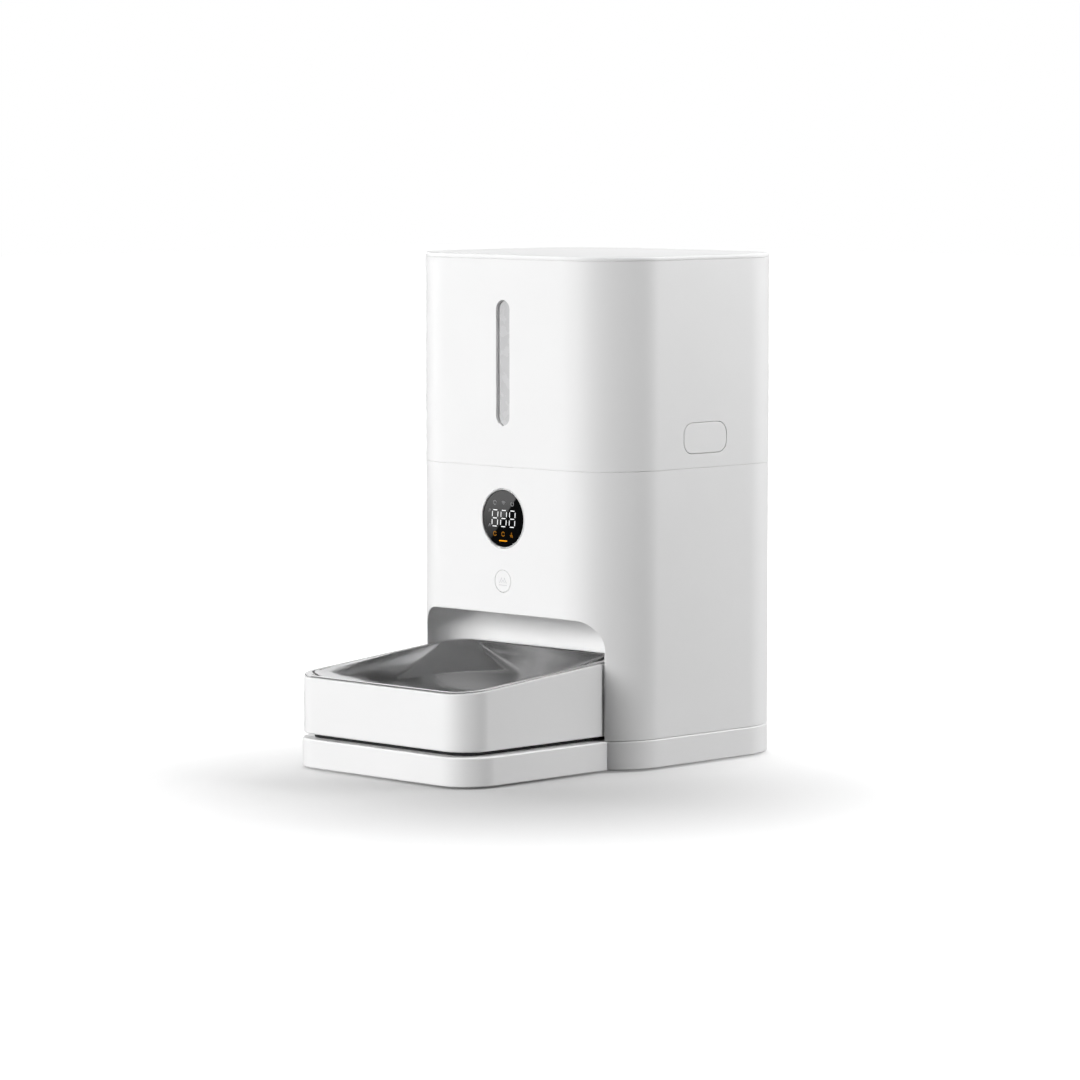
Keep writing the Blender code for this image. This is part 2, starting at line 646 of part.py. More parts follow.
def make_chute():
    sections = [(CUP_OUTLET_Y, CHUTE_TOP_WIDTH, CHUTE_TOP_DEPTH, CUP_BOTTOM - GAP),
                (OUTLET_Y, OUTLET_WIDTH, OUTLET_DEPTH, NICHE_TOP + 8 * MM),
                (OUTLET_Y, OUTLET_WIDTH, OUTLET_DEPTH, NICHE_TOP + 0.6 * MM)]
    outer = [chute_ring(*section) for section in sections]
    inner = [chute_ring(y, width - 2 * CHUTE_WALL, depth - 2 * CHUTE_WALL, height)
             for y, width, depth, height in reversed(sections)]
    skin("outlet_chute", outer + inner, "white_inner", closed=True)
    for side, name in ((-1, "left"), (1, "right")):
        near, far = sorted((side * (OUTLET_WIDTH / 2 + GAP), side * (OUTLET_WIDTH / 2 + 4.3 * MM)))
        box(f"outlet_sensor_{name}", (near, OUTLET_Y - 5 * MM, NICHE_TOP + 3 * MM),
            (far, OUTLET_Y + 5 * MM, NICHE_TOP + 11 * MM), "black_plastic")


def bored(piece, radius, low, high, centre, count=24):
    """Cuts a round upright hole."""
    cut(piece, turned(f"{piece.name}_bore", [(radius, low), (radius, high)], centre, count=count))


def make_metering_wheel():
    centre = (0, TOWER_MIDDLE)
    outline = moved(vane_outline(WHEEL_HUB_RADIUS, WHEEL_RADIUS, VANE_THICKNESS, WHEEL_VANES), *centre)
    wheel = skin("metering_wheel", [level(outline, WHEEL_BOTTOM), level(outline, WHEEL_TOP)], "silicone")
    bored(wheel, BORE_RADIUS, WHEEL_BOTTOM - 5 * MM, WHEEL_TOP + 5 * MM, centre)
    shaft = turned("wheel_shaft", [(SHAFT_RADIUS, SHAFT_BOTTOM), (SHAFT_RADIUS, SHAFT_TOP)], centre, "zinc",
                   count=24)
    arms = moved(vane_outline(2 * SHAFT_RADIUS, STIRRER_REACH, 4 * MM, 3), *centre)
    stirrer = skin("stirrer", [level(arms, STIRRER_BOTTOM), level(arms, STIRRER_TOP)], "silicone")
    bored(stirrer, BORE_RADIUS, STIRRER_BOTTOM - 2 * MM, STIRRER_TOP + 3 * MM, centre)
    teeth = moved(gear_outline(GEAR_TEETH, 0), *centre)
    gear = skin("drive_gear", [level(teeth, GEAR_BOTTOM), level(teeth, GEAR_TOP)], "gear")
    bored(gear, BORE_RADIUS, GEAR_BOTTOM - 5 * MM, GEAR_TOP + 3 * MM, centre)
    hang_on("wheel_axis", (*centre, CUP_FLOOR), [wheel, shaft, stirrer, gear])
    turned("shaft_bush", [(6 * MM, CUP_FLOOR), (6 * MM, CUP_BOTTOM - GAP), (9 * MM, CUP_BOTTOM - GAP),
                          (9 * MM, CUP_BOTTOM - 2 * MM), (BORE_RADIUS, CUP_BOTTOM - 2 * MM),
                          (BORE_RADIUS, CUP_FLOOR)],
           centre, "gear", closed=True, count=24)


def make_outlet_baffle():
    reach = CUP_RADIUS - CUP_WALL - GAP
    outline = arc(0, TOWER_MIDDLE, reach, -128, -52, 10) + arc(0, TOWER_MIDDLE, 15 * MM, -52, -128, 4)
    skin("outlet_baffle", [level(outline, BAFFLE_BOTTOM), level(outline, BAFFLE_TOP)], "silicone")


def make_motor():
    spot = (0, MOTOR_Y)
    turned("gear_motor", [(MOTOR_RADIUS, MOTOR_BOTTOM), (MOTOR_RADIUS, GEARBOX_BOTTOM),
                          (GEARBOX_RADIUS, GEARBOX_BOTTOM), (GEARBOX_RADIUS, GEARBOX_TOP)], spot, "zinc")
    low = MOTOR_BRACKET_BOTTOM
    shaft = turned("motor_shaft", [(MOTOR_SHAFT_RADIUS, low), (MOTOR_SHAFT_RADIUS, MOTOR_SHAFT_TOP)], spot,
                   "zinc", count=16)
    outline = moved(gear_outline(PINION_TEETH, PINION_TEETH * 0.75 + 0.5), *spot)
    rings = [level(outline, GEAR_BOTTOM - GAP), level(outline, GEAR_TOP + GAP)]
    pinion = skin("motor_pinion", rings, "gear")
    bored(pinion, MOTOR_SHAFT_RADIUS + GAP, GEAR_BOTTOM - 5 * MM, GEAR_TOP + 5 * MM, spot, count=16)
    hang_on("pinion_axis", (*spot, GEAR_BOTTOM), [shaft, pinion])
    high = CUP_BOTTOM - GAP
    outer = MOTOR_BRACKET_HALF_WIDTH
    inner = outer - MOTOR_BRACKET_WALL
    web = low + MOTOR_BRACKET_WALL
    channel = [(-outer, low), (outer, low), (outer, high), (inner, high), (inner, web), (-inner, web),
               (-inner, high), (-outer, high)]
    bracket = skin("motor_bracket", [facing_front(channel, TOWER_MIDDLE - 16 * MM),
                                     facing_front(channel, TOWER_MIDDLE + 46 * MM)], "zinc")
    bored(bracket, 4 * MM, low - 5 * MM, web + 1 * MM, spot, count=16)


# Hopper

def make_hopper_shell():
    foot = HOPPER_BOTTOM - 5.8 * MM
    step = HOPPER_BOTTOM + 3 * MM
    sections = [(SPIGOT_INSET, foot), (SPIGOT_INSET, HOPPER_BOTTOM), (0, HOPPER_BOTTOM), (0, HOPPER_TOP),
                (HOPPER_WALL, HOPPER_TOP), (HOPPER_WALL, step), (SPIGOT_WALL_INSET, step),
                (SPIGOT_WALL_INSET, foot)]
    shell = skin("hopper_shell", [level(tower_outline(inset), height) for inset, height in sections],
                 "white_shell", closed=True)
    half = WINDOW_WIDTH / 2
    slot = rounded_rectangle(-half, half, WINDOW_BOTTOM, WINDOW_TOP, half - 0.01 * MM)
    cut(shell, skin("window_slot", [facing_front(slot, TOWER_FRONT - 5 * MM),
                                    facing_front(slot, TOWER_FRONT + 6 * MM)]))
    for side in (-1, 1):
        near = side * (TOWER_WIDTH / 2 - 6 * MM)
        far = side * (TOWER_WIDTH / 2 + 5 * MM)
        cut(shell, skin(f"release_hole_{side + 1}", [facing_side(release_outline(0), near),
                                                     facing_side(release_outline(0), far)]))
    return shell


def make_level_window():
    half = WINDOW_WIDTH / 2 + WINDOW_RIM
    outline = rounded_rectangle(-half, half, WINDOW_BOTTOM - WINDOW_RIM, WINDOW_TOP + WINDOW_RIM,
                                half - 0.01 * MM)
    behind = TOWER_FRONT + HOPPER_WALL + GAP
    return skin("level_window", [facing_front(outline, behind),
                                 facing_front(outline, behind + WINDOW_RIM_DEPTH)], "window_grey")


def make_hopper_funnel():
    half_x = TOWER_WIDTH / 2 - HOPPER_WALL - GAP
    half_y = TOWER_DEPTH / 2 - HOPPER_WALL - GAP
    radius = TOWER_RADIUS - HOPPER_WALL - GAP

    def reach(angle, inset):
        """Distance from the middle to the hopper's inner wall along one direction."""
        cosine = abs(math.cos(angle))
        sine = abs(math.sin(angle))
        straight = min((half_x - inset) / max(cosine, 1e-9), (half_y - inset) / max(sine, 1e-9))
        corner_x = half_x - radius
        corner_y = half_y - radius
        if straight * cosine <= corner_x or straight * sine <= corner_y:
            return straight
        along = corner_x * cosine + corner_y * sine
        across = corner_x * sine - corner_y * cosine
        return along + math.sqrt((radius - inset) ** 2 - across ** 2)

    def wide_ring(inset, height):
        ring = []
        for step in range(FUNNEL_STEPS):
            angle = 2 * math.pi * step / FUNNEL_STEPS
            distance = reach(angle, inset)
            ring.append((distance * math.cos(angle), TOWER_MIDDLE + distance * math.sin(angle), height))
        return ring

    def throat_ring(ring_radius, height):
        return level(circle(ring_radius, FUNNEL_STEPS, (0, TOWER_MIDDLE)), height)

    inner = FUNNEL_RADIUS - FUNNEL_WALL
    rings = [wide_ring(0, FUNNEL_TOP), throat_ring(FUNNEL_RADIUS, FUNNEL_THROAT),
             throat_ring(FUNNEL_RADIUS, FUNNEL_LIP), throat_ring(inner, FUNNEL_LIP),
             throat_ring(inner, FUNNEL_THROAT + 1.5 * MM), wide_ring(1 * MM, FUNNEL_TOP + 2.2 * MM),
             wide_ring(0, FUNNEL_TOP + 2.2 * MM)]
    funnel = skin("hopper_funnel", rings, "white_inner", closed=True)
    notch = WINDOW_WIDTH / 2 + WINDOW_RIM
    cut(funnel, box("window_notch", (-notch, TOWER_FRONT, WINDOW_BOTTOM - 2 * WINDOW_RIM),
                    (notch, TOWER_FRONT + HOPPER_WALL + WINDOW_RIM_DEPTH + 2 * GAP, WINDOW_TOP)))
    return funnel


def release_outline(inset):
    """Side view of a release button, moved inwards by inset."""
    half_y = RELEASE_WIDTH / 2 - inset
    half_z = RELEASE_HEIGHT / 2 - inset
    return rounded_rectangle(TOWER_MIDDLE - half_y, TOWER_MIDDLE + half_y, RELEASE_CENTRE - half_z,
                             RELEASE_CENTRE + half_z, RELEASE_RADIUS - inset)


def make_release(side, name):
    """One release button with its latch arm, return spring and guide bracket."""
    face = TOWER_WIDTH / 2
    flange = face - HOPPER_WALL - 0.5 * MM
    sections = [(-RELEASE_FLANGE, RELEASE_BACK), (-RELEASE_FLANGE, flange), (GAP, flange),
                (GAP, face - 0.4 * MM), (0.7 * MM, face)]
    button = skin(f"release_button_{name}",
                  [facing_side(release_outline(inset), side * across) for inset, across in sections],
                  "white_shell")
    near, far = sorted((side * RELEASE_BACK, side * (RELEASE_BACK + LATCH_THICKNESS)))
    add(button, box(f"latch_arm_{name}", (near, TOWER_MIDDLE - LATCH_HALF_WIDTH, LATCH_BOTTOM),
                    (far, TOWER_MIDDLE + LATCH_HALF_WIDTH, RELEASE_CENTRE - RELEASE_HEIGHT / 3)))
    hang_on(f"release_{name}_axis", (side * face, TOWER_MIDDLE, RELEASE_CENTRE), [button])
    start = (side * (RELEASE_BACK - 0.8 * MM), TOWER_MIDDLE, RELEASE_CENTRE)
    coil = spring(f"release_spring_{name}", start, (-side, 0, 0), 4.4 * MM, 5 * MM, 0.7 * MM, 2.5)
    wall = face - HOPPER_WALL - GAP
    web = BRACKET_BACK + BRACKET_WALL
    outer = BRACKET_HALF_WIDTH
    inner = outer - BRACKET_WALL
    plan = [(BRACKET_BACK, -outer), (wall, -outer), (wall, -inner), (web, -inner),
            (web, inner), (wall, inner), (wall, outer), (BRACKET_BACK, outer)]
    plan = [(side * x, TOWER_MIDDLE + y) for x, y in plan]
    bracket = skin(f"release_bracket_{name}", [level(plan, 202 * MM), level(plan, 221 * MM)], "white_inner")
    return [button, coil, bracket]


# Lid

def make_lid():
    skirt = LID_BOTTOM - LID_SKIRT
    ceiling = LID_TOP - HOPPER_WALL
    outer = LID_SKIRT_INSET
    inner = LID_SKIRT_INSET + LID_SKIRT_WALL
    sections = [(inner, ceiling), (inner, skirt), (outer, skirt), (outer, LID_BOTTOM),
                (0.3 * MM, LID_BOTTOM), (0, LID_BOTTOM + 0.3 * MM), (0, LID_TOP - 1.2 * MM),
                (0.35 * MM, LID_TOP - 0.35 * MM), (1.2 * MM, LID_TOP)]
    rings = [level(tower_outline(inset), height) for inset, height in sections]
    lid = skin("lid_panel", rings, "white_shell")
    low = LID_BOTTOM - 6 * MM
    high = LID_BOTTOM - 3 * MM
    tight = LID_SKIRT_INSET - GAP
    seal_sections = [(HOPPER_WALL + GAP, low), (HOPPER_WALL + GAP, high), (tight, high), (tight, low)]
    seal = skin("lid_seal", [level(tower_outline(inset), height) for inset, height in seal_sections],
                "silicone", closed=True)
    centre = (0, TOWER_MIDDLE)
    bore = CASE_RADIUS - CASE_WALL
    top = ceiling - GAP
    case = turned("desiccant_case",
                  [(bore, top - CASE_WALL), (bore, CASE_BOTTOM), (CASE_RADIUS, CASE_BOTTOM),
                   (CASE_RADIUS, top)], centre, "white_inner", count=36)
    bag = turned("desiccant_bag", [(22 * MM, 310 * MM), (28 * MM, 313 * MM), (29.5 * MM, 316 * MM),
                                   (28 * MM, 319 * MM), (22 * MM, 322 * MM)], centre, "fleece", count=24)
    cover = turned("desiccant_cover",
                   [(bore - GAP, CASE_BOTTOM + GAP), (bore - GAP, CASE_BOTTOM + 2.3 * MM)],
                   centre, "white_inner", count=36)
    grip = moved([(-GRIP_HALF_LENGTH, -GRIP_HALF_WIDTH), (GRIP_HALF_LENGTH, -GRIP_HALF_WIDTH),
                  (GRIP_HALF_LENGTH, GRIP_HALF_WIDTH), (-GRIP_HALF_LENGTH, GRIP_HALF_WIDTH)], *centre)
    rings = [level(grip, CASE_BOTTOM - GRIP_DROP), level(grip, CASE_BOTTOM + 1 * MM)]
    add(cover, skin("cover_grip", rings))
    for number in range(VENTS):
        angle = 2 * math.pi * (number + 0.5) / VENTS
        spot = (VENT_CIRCLE * math.cos(angle), TOWER_MIDDLE + VENT_CIRCLE * math.sin(angle))
        cut(cover, turned(f"vent_{number}", [(VENT_RADIUS, CASE_BOTTOM - 1 * MM),
                                             (VENT_RADIUS, CASE_BOTTOM + 5 * MM)], spot, count=12))
    turning = hang_on("desiccant_cover_axis", (0, TOWER_MIDDLE, CASE_BOTTOM), [cover])
    return [lid, seal, case, bag, turning]


# Bowl

def rim_height(y):
    """Height of the bowl's sloping rim, low at the front."""
    return RIM_FRONT_HEIGHT + RIM_SLOPE * (y - BOWL_FRONT)


def bowl_ring(inset, flat_height, share, drop=0):
    """A ring of the bowl; share 1 follows the sloping rim, share 0 lies flat."""
    return [(x, y, share * (rim_height(y) - drop) + (1 - share) * flat_height)
            for x, y in bowl_outline(inset)]


def make_bowl_pad():
    outline = bowl_outline(PAD_INSET)
    skin("bowl_pad", [level(outline, BASE_TOP + GAP), level(outline, BOWL_BOTTOM - GAP)], "rubber")


def make_bowl_holder():
    below_rim = RIM_THICKNESS + GAP
    floor = BOWL_BOTTOM + HOLDER_FLOOR
    rings = [bowl_ring(1 * MM, BOWL_BOTTOM, 0), bowl_ring(0.3 * MM, BOWL_BOTTOM + 0.3 * MM, 0),
             bowl_ring(0, BOWL_BOTTOM + 1 * MM, 0), bowl_ring(0, 0, 1, below_rim + 0.5 * MM),
             bowl_ring(0.5 * MM, 0, 1, below_rim), bowl_ring(HOLDER_WALL, 0, 1, below_rim),
             bowl_ring(HOLDER_WALL, floor + 2 * MM, 0), bowl_ring(HOLDER_WALL + 2 * MM, floor, 0)]
    return skin("bowl_holder", rings, "white_shell")


def steel_ring(inset, depth):
    """A ring of the steel bowl, whose corners open out and whose slope fades away with depth."""
    half = BOWL_HALF_WIDTH - inset
    half_length = (BOWL_BACK - BOWL_FRONT) / 2 - inset
    growth = STEEL_ROUNDING * (max(depth, 0) / STEEL_DEPTH) ** 1.2
    radius = min(BOWL_RADIUS - min(inset, STEEL_LIP) + growth, half - GAP, half_length - GAP)
    outline = rounded_rectangle(-half, half, BOWL_FRONT + inset, BOWL_BACK - inset, radius)
    share = min(depth / STEEL_DEPTH, 1) ** 2
    return [(x, y, rim_height(y) - depth - (rim_height(y) - STEEL_FLOOR - STEEL_DEPTH) * share)
            for x, y in outline]


def make_steel_bowl():
    inner = [(0.9 * MM, 0)] + STEEL_PROFILE
    outer = [(0.4 * MM, RIM_THICKNESS / 2), (0.9 * MM, RIM_THICKNESS), (3.8 * MM, RIM_THICKNESS)]
    for before, point, after in zip(STEEL_PROFILE[1:], STEEL_PROFILE[2:], STEEL_PROFILE[3:]):
        along = (Vector(after) - Vector(before)).normalized()
        outer.append((point[0] - along.y * STEEL_THICKNESS, point[1] + along.x * STEEL_THICKNESS))
    outer.append((STEEL_PROFILE[-1][0], STEEL_DEPTH + STEEL_THICKNESS))
    return skin("steel_bowl", [steel_ring(*point) for point in list(reversed(inner)) + outer], "steel")


def main():
    for leftover in list(bpy.data.objects):
        bpy.data.objects.remove(leftover, do_unlink=True)
    make_base_shell()
    make_bottom_plate()
    make_feet()
    make_base_screws()
    make_lower_housing()
    make_display()
    make_feed_button()
    make_rear_electrics()
    make_top_deck()
    make_metering_cup()
    make_chute()
    make_metering_wheel()
    make_outlet_baffle()
    make_motor()
    hopper = [make_hopper_shell(), make_level_window(), make_hopper_funnel()]
    hopper += make_release(-1, "left")
    hopper += make_release(1, "right")
    hang_on("hopper_axis", (0, TOWER_MIDDLE, HOPPER_BOTTOM),
            [piece for piece in hopper if piece.parent is None])
    hang_on("lid_axis", (0, TOWER_MIDDLE, LID_BOTTOM), make_lid())
    make_bowl_pad()
    holder = make_bowl_holder()
    bowl_pivot = hang_on("bowl_axis", (0, BOWL_BACK, BOWL_BOTTOM), [holder])
    steel_pivot = hang_on("steel_bowl_axis", (0, BOWL_BACK, BOWL_BOTTOM), [make_steel_bowl()])
    steel_pivot.parent = bowl_pivot
    steel_pivot.matrix_parent_inverse = Matrix.Translation(bowl_pivot.location).inverted()


main()
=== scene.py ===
"""Studio scene of an automatic pet feeder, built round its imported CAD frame.

Metres, +Z up, front to -Y.
"""

import json
import math

import bmesh
import bpy
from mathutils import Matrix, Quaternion, Vector


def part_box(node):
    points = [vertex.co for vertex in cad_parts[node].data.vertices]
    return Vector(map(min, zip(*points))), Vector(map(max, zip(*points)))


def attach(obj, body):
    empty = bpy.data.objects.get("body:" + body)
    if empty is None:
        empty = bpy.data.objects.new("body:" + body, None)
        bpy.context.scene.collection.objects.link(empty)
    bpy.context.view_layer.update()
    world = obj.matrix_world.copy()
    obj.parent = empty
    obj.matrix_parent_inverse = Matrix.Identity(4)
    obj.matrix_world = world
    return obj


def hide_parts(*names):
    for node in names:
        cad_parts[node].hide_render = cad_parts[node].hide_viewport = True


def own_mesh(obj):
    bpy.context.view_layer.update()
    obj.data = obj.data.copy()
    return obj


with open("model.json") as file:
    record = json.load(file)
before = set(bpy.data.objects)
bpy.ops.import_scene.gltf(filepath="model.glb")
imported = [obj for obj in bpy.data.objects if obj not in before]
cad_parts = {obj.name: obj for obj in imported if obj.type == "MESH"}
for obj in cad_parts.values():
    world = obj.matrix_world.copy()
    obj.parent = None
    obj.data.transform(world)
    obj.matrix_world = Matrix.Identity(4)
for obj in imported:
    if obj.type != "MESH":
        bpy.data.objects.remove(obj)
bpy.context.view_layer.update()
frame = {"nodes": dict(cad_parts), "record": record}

MM = 0.001

# Places read from the frame
HOPPER_LOW, HOPPER_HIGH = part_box("hopper_shell")
HOUSING_LOW, HOUSING_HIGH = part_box("lower_housing")
BASE_LOW, BASE_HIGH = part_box("base_shell")
LID_LOW, LID_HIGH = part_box("lid_panel")
HOLDER_LOW, HOLDER_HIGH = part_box("bowl_holder")
STEEL_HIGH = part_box("steel_bowl")[1]
LENS_LOW, LENS_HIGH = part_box("display_lens")
BEZEL_LOW, BEZEL_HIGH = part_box("display_bezel")
BUTTON_LOW, BUTTON_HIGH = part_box("feed_button")
WINDOW_LOW, WINDOW_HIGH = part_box("level_window")
INLET_LOW, INLET_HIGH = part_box("power_inlet")
RELEASE_LOW, RELEASE_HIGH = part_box("release_button_right")
CHUTE_LOW, CHUTE_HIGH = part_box("outlet_chute")

FRONT = HOUSING_LOW.y
BACK = HOUSING_HIGH.y
MIDDLE = (FRONT + BACK) / 2
HALF_WIDTH = HOUSING_HIGH.x
TOWER_RADIUS = 44 * MM
SEAM = 0.3 * MM
HOPPER_BOTTOM = HOUSING_HIGH.z + SEAM
HOPPER_TOP = HOPPER_HIGH.z
LID_BOTTOM = HOPPER_TOP + SEAM
LID_TOP = LID_HIGH.z

# Wall thicknesses, edge radii and the fine grooves at the seams
WALL = 2.6 * MM
HOPPER_WALL = 2.4 * MM
SEAM_EDGE = 0.15 * MM
GROOVE_DEPTH = 0.45 * MM
GROOVE_DROP = 0.24 * MM
SMALLEST_STEP = 0.005 * MM
SMALLEST_RADIUS = 6 * MM

# How far cutters reach past or into what they cut
CUT_PAST = 5 * MM
HOLE_DEPTH = 6 * MM
NICHE_PAST = 12 * MM

# Base
BASE_EDGE = 1.1 * MM
DECK_THICKNESS = 2.4 * MM
TRAY_HALF_WIDTH = 83.65 * MM
TRAY_RADIUS = 24.7 * MM

# Hopper's spigot, lid and the lip under it; insets are from the tower's plan
SPIGOT_INSET = WALL + 0.4 * MM
SPIGOT_INSIDE = 5 * MM
SPIGOT_RISE = 3 * MM
LID_EDGE = 1.6 * MM
LID_THICKNESS = 2.4 * MM
LIP_OUTSIDE = 4.4 * MM
LIP_INSIDE = 6.2 * MM
LIP_EDGE = 0.4 * MM
DIMPLE_CENTRE = (-24 * MM, -2.7 * MM)
DIMPLE_FLOOR_RADIUS = 2.2 * MM
DIMPLE_MOUTH_RADIUS = 3 * MM
DIMPLE_DEPTH = 0.5 * MM
DIMPLE_MOUTH_RISE = 0.3 * MM

# Bowl niche
NICHE_HALF_WIDTH = 82 * MM
NICHE_TOP = 97.3 * MM
NICHE_CORNER = 18 * MM
NICHE_DEPTH = 48 * MM
NICHE_PLAN_RADIUS = 34 * MM
NICHE_COVE_RADIUS = 10 * MM
NICHE_EDGE = 0.9 * MM
NICHE_WALL = 2.4 * MM
NICHE_STEPS = 16
NICHE_LAST_ANGLE = math.radians(84)
OUTLET_GAP = 0.5 * MM
OUTLET_NEAR = 11 * MM
OUTLET_FAR = 38 * MM
OUTLET_BOTTOM = 90 * MM
OUTLET_TOP = 110 * MM

# Front features
DISPLAY_CENTRE = (LENS_LOW.z + LENS_HIGH.z) / 2
LENS_RADIUS = (LENS_HIGH.x - LENS_LOW.x) / 2
LENS_RECESS = 0.7 * MM
LENS_EDGE = 0.35 * MM
BEZEL_RADIUS = (BEZEL_HIGH.x - BEZEL_LOW.x) / 2
BEZEL_WALL = 0.45 * MM
BEZEL_OUTER_EDGE = 0.15 * MM
BEZEL_INNER_EDGE = 0.12 * MM
DISPLAY_HOLE_RADIUS = 19.7 * MM
DISPLAY_HOLE_EDGE = 0.25 * MM
BUTTON_CENTRE = (BUTTON_LOW.z + BUTTON_HIGH.z) / 2
BUTTON_RADIUS = 7.2 * MM
BUTTON_EDGE = 0.25 * MM
BUTTON_FLANGE = 1.5 * MM
BUTTON_FLANGE_FRONT = 3 * MM
BUTTON_FLANGE_BACK = 4.2 * MM
BUTTON_STEM_RADIUS = 2.5 * MM
BUTTON_HOLE_RADIUS = 7.45 * MM
BUTTON_HOLE_EDGE = 0.15 * MM
INLET_HOLE_RADIUS = 6 * MM
INLET_HOLE_EDGE = 0.4 * MM
SLOT_WIDTH = 12 * MM
SLOT_BOTTOM = 220.6 * MM
SLOT_TOP = 302.1 * MM
SLOT_EDGE = 0.45 * MM
RELEASE_CENTRE_Y = (RELEASE_LOW.y + RELEASE_HIGH.y) / 2
RELEASE_CENTRE_Z = 213.3 * MM
RELEASE_WIDTH = 41 * MM
RELEASE_HEIGHT = 20.4 * MM
RELEASE_RADIUS = 8 * MM
RELEASE_GAP = 0.3 * MM
RELEASE_EDGE = 0.45 * MM
RELEASE_HOLE_EDGE = 0.25 * MM
RELEASE_FLANGE = 1.6 * MM
RELEASE_FLANGE_FRONT = 2.9 * MM
RELEASE_FLANGE_BACK = 8 * MM
LATCH_THICKNESS = 2 * MM
LATCH_HALF_WIDTH = 8 * MM
LATCH_TOP = RELEASE_CENTRE_Z - 12 * MM

# Marks on the display and the feed button
SEGMENT_WIDTH = 0.56 * MM
SEGMENT_SIDE_GAP = 0.55 * MM
SEGMENT_END_GAP = 0.85 * MM
DIGIT_WIDTH = 5.6 * MM
DIGIT_HEIGHT = 11.2 * MM
DIGIT_PITCH = 7.95 * MM
DIGIT_SLANT = 0.06
MARK_THICKNESS = 0.03 * MM
ICON_DROP = 10.2 * MM
ICON_ACROSS = 8 * MM
ICON_RADIUS = 1.35 * MM
ICON_LINE = 0.4 * MM
AMBER_ICON_LINE = 0.65 * MM
BUTTON_ICON_LINE = 0.42 * MM
BUTTON_ICON_THICKNESS = 0.09 * MM

# Bowl holder and steel bowl
BOWL_RADIUS = 21 * MM
RIM_SLOPE = 0.086
RIM_BACK_HEIGHT = STEEL_HIGH.z
HOLDER_WALL = 2.6 * MM
HOLDER_FLOOR = 2.4 * MM
HOLDER_BELOW_RIM = 1.0 * MM
HOLDER_TOP_EDGE = 0.6 * MM
HOLDER_BOTTOM_EDGE = 1.3 * MM
HOLDER_INNER_EDGE = 4 * MM
STEEL_FLOOR = 31 * MM
STEEL_DEPTH = 33 * MM
STEEL_THICKNESS = 0.7 * MM
STEEL_LIP = 4.4 * MM
STEEL_CORNER_STEPS = 30
STEEL_OPENING = 46 * MM
STEEL_OPENING_DEPTH = 20 * MM
STEEL_SOFTENING = 0.7
STEEL_SOFTENING_DEPTH = 6 * MM
STEEL_SOFT_REACH = 0.42
STEEL_PROFILE = [(1.3, 0.0), (3.6, 0.0), (4.5, 0.5), (5.3, 3), (7.2, 10), (10.4, 17), (16, 24), (25, 29.6),
                 (36, 32.4), (48, 33)]
STEEL_RIM = [(0.85, 0.05), (0.62, 0.18), (0.54, 0.36), (0.62, 0.54), (0.85, 0.68)]
LINING_START = 5

# Return springs
SPRING_STEPS = 24
WIRE_SIDES = 10

# Camera, floor and reflection cards
CAMERA_AZIMUTH = 44.81
CAMERA_PITCH = 5.04
CAMERA_DISTANCE = 3.1545
CAMERA_LENS = 161.3
AIM = Vector((17.2 * MM, FRONT + 17.1 * MM, 146.0 * MM))
LIGHT_AIM = Vector((0, MIDDLE, 150 * MM))
FLOOR_HALF_SIZE = 9.0
FLOOR_THICKNESS = 20 * MM
# Painted shadow on the floor: its centre and the distances over which the floor's glow rises
SHADOW_CENTRE = (105 * MM, -110 * MM, 0)
SHADOW_START = -0.07
SHADOW_END = 0.54
CARD_DISTANCE = 600 * MM
CARD_WIDTH = 90 * MM

# How finely round shapes are divided
TOWER_STEPS = 28
CORNER_STEPS = 20
ROUND_STEPS = 96
CURVE_STEPS = 6


# Outlines

def arc(centre_x, centre_y, radius, start, end, steps=CORNER_STEPS):
    """Points on a circle from one angle to another, in degrees."""
    points = []
    for step in range(steps + 1):
        angle = math.radians(start + (end - start) * step / steps)
        points.append((centre_x + radius * math.cos(angle), centre_y + radius * math.sin(angle)))
    return points


def rounded_rectangle(low_x, high_x, low_y, high_y, radius, steps=CORNER_STEPS):
    """A rectangle with four equal round corners, anticlockwise."""
    return (arc(high_x - radius, low_y + radius, radius, -90, 0, steps)
            + arc(high_x - radius, high_y - radius, radius, 0, 90, steps)
            + arc(low_x + radius, high_y - radius, radius, 90, 180, steps)
            + arc(low_x + radius, low_y + radius, radius, 180, 270, steps))


def circle(radius, centre=(0, 0), count=ROUND_STEPS):
    """A circle as an even polygon."""
    return [(centre[0] + radius * math.cos(2 * math.pi * step / count),
             centre[1] + radius * math.sin(2 * math.pi * step / count)) for step in range(count)]


def tower_outline(inset):
    """Plan of the tower, moved inwards by inset."""
    half = HALF_WIDTH - inset
    return rounded_rectangle(-half, half, FRONT + inset, BACK - inset, TOWER_RADIUS - inset, TOWER_STEPS)


def base_outline(inset):
    """Plan of the base, moved inwards by inset: the tower's plan joined to the narrower tray in front."""
    tray_half = TRAY_HALF_WIDTH - inset
    radius = TOWER_RADIUS - inset
    centre_x = HALF_WIDTH - TOWER_RADIUS
    front_y = FRONT + TOWER_RADIUS
    back_y = BACK - TOWER_RADIUS
    meet = math.degrees(math.acos((tray_half - centre_x) / radius))
    tray_y = BASE_LOW.y + TRAY_RADIUS
    tray_x = TRAY_HALF_WIDTH - TRAY_RADIUS
    return (arc(tray_x, tray_y, TRAY_RADIUS - inset, -90, 0)
            + arc(centre_x, front_y, radius, -meet, 0)
            + arc(centre_x, back_y, radius, 0, 90, TOWER_STEPS)
            + arc(-centre_x, back_y, radius, 90, 180, TOWER_STEPS)
            + arc(-centre_x, front_y, radius, 180, 180 + meet)
            + arc(-tray_x, tray_y, TRAY_RADIUS - inset, 180, 270))


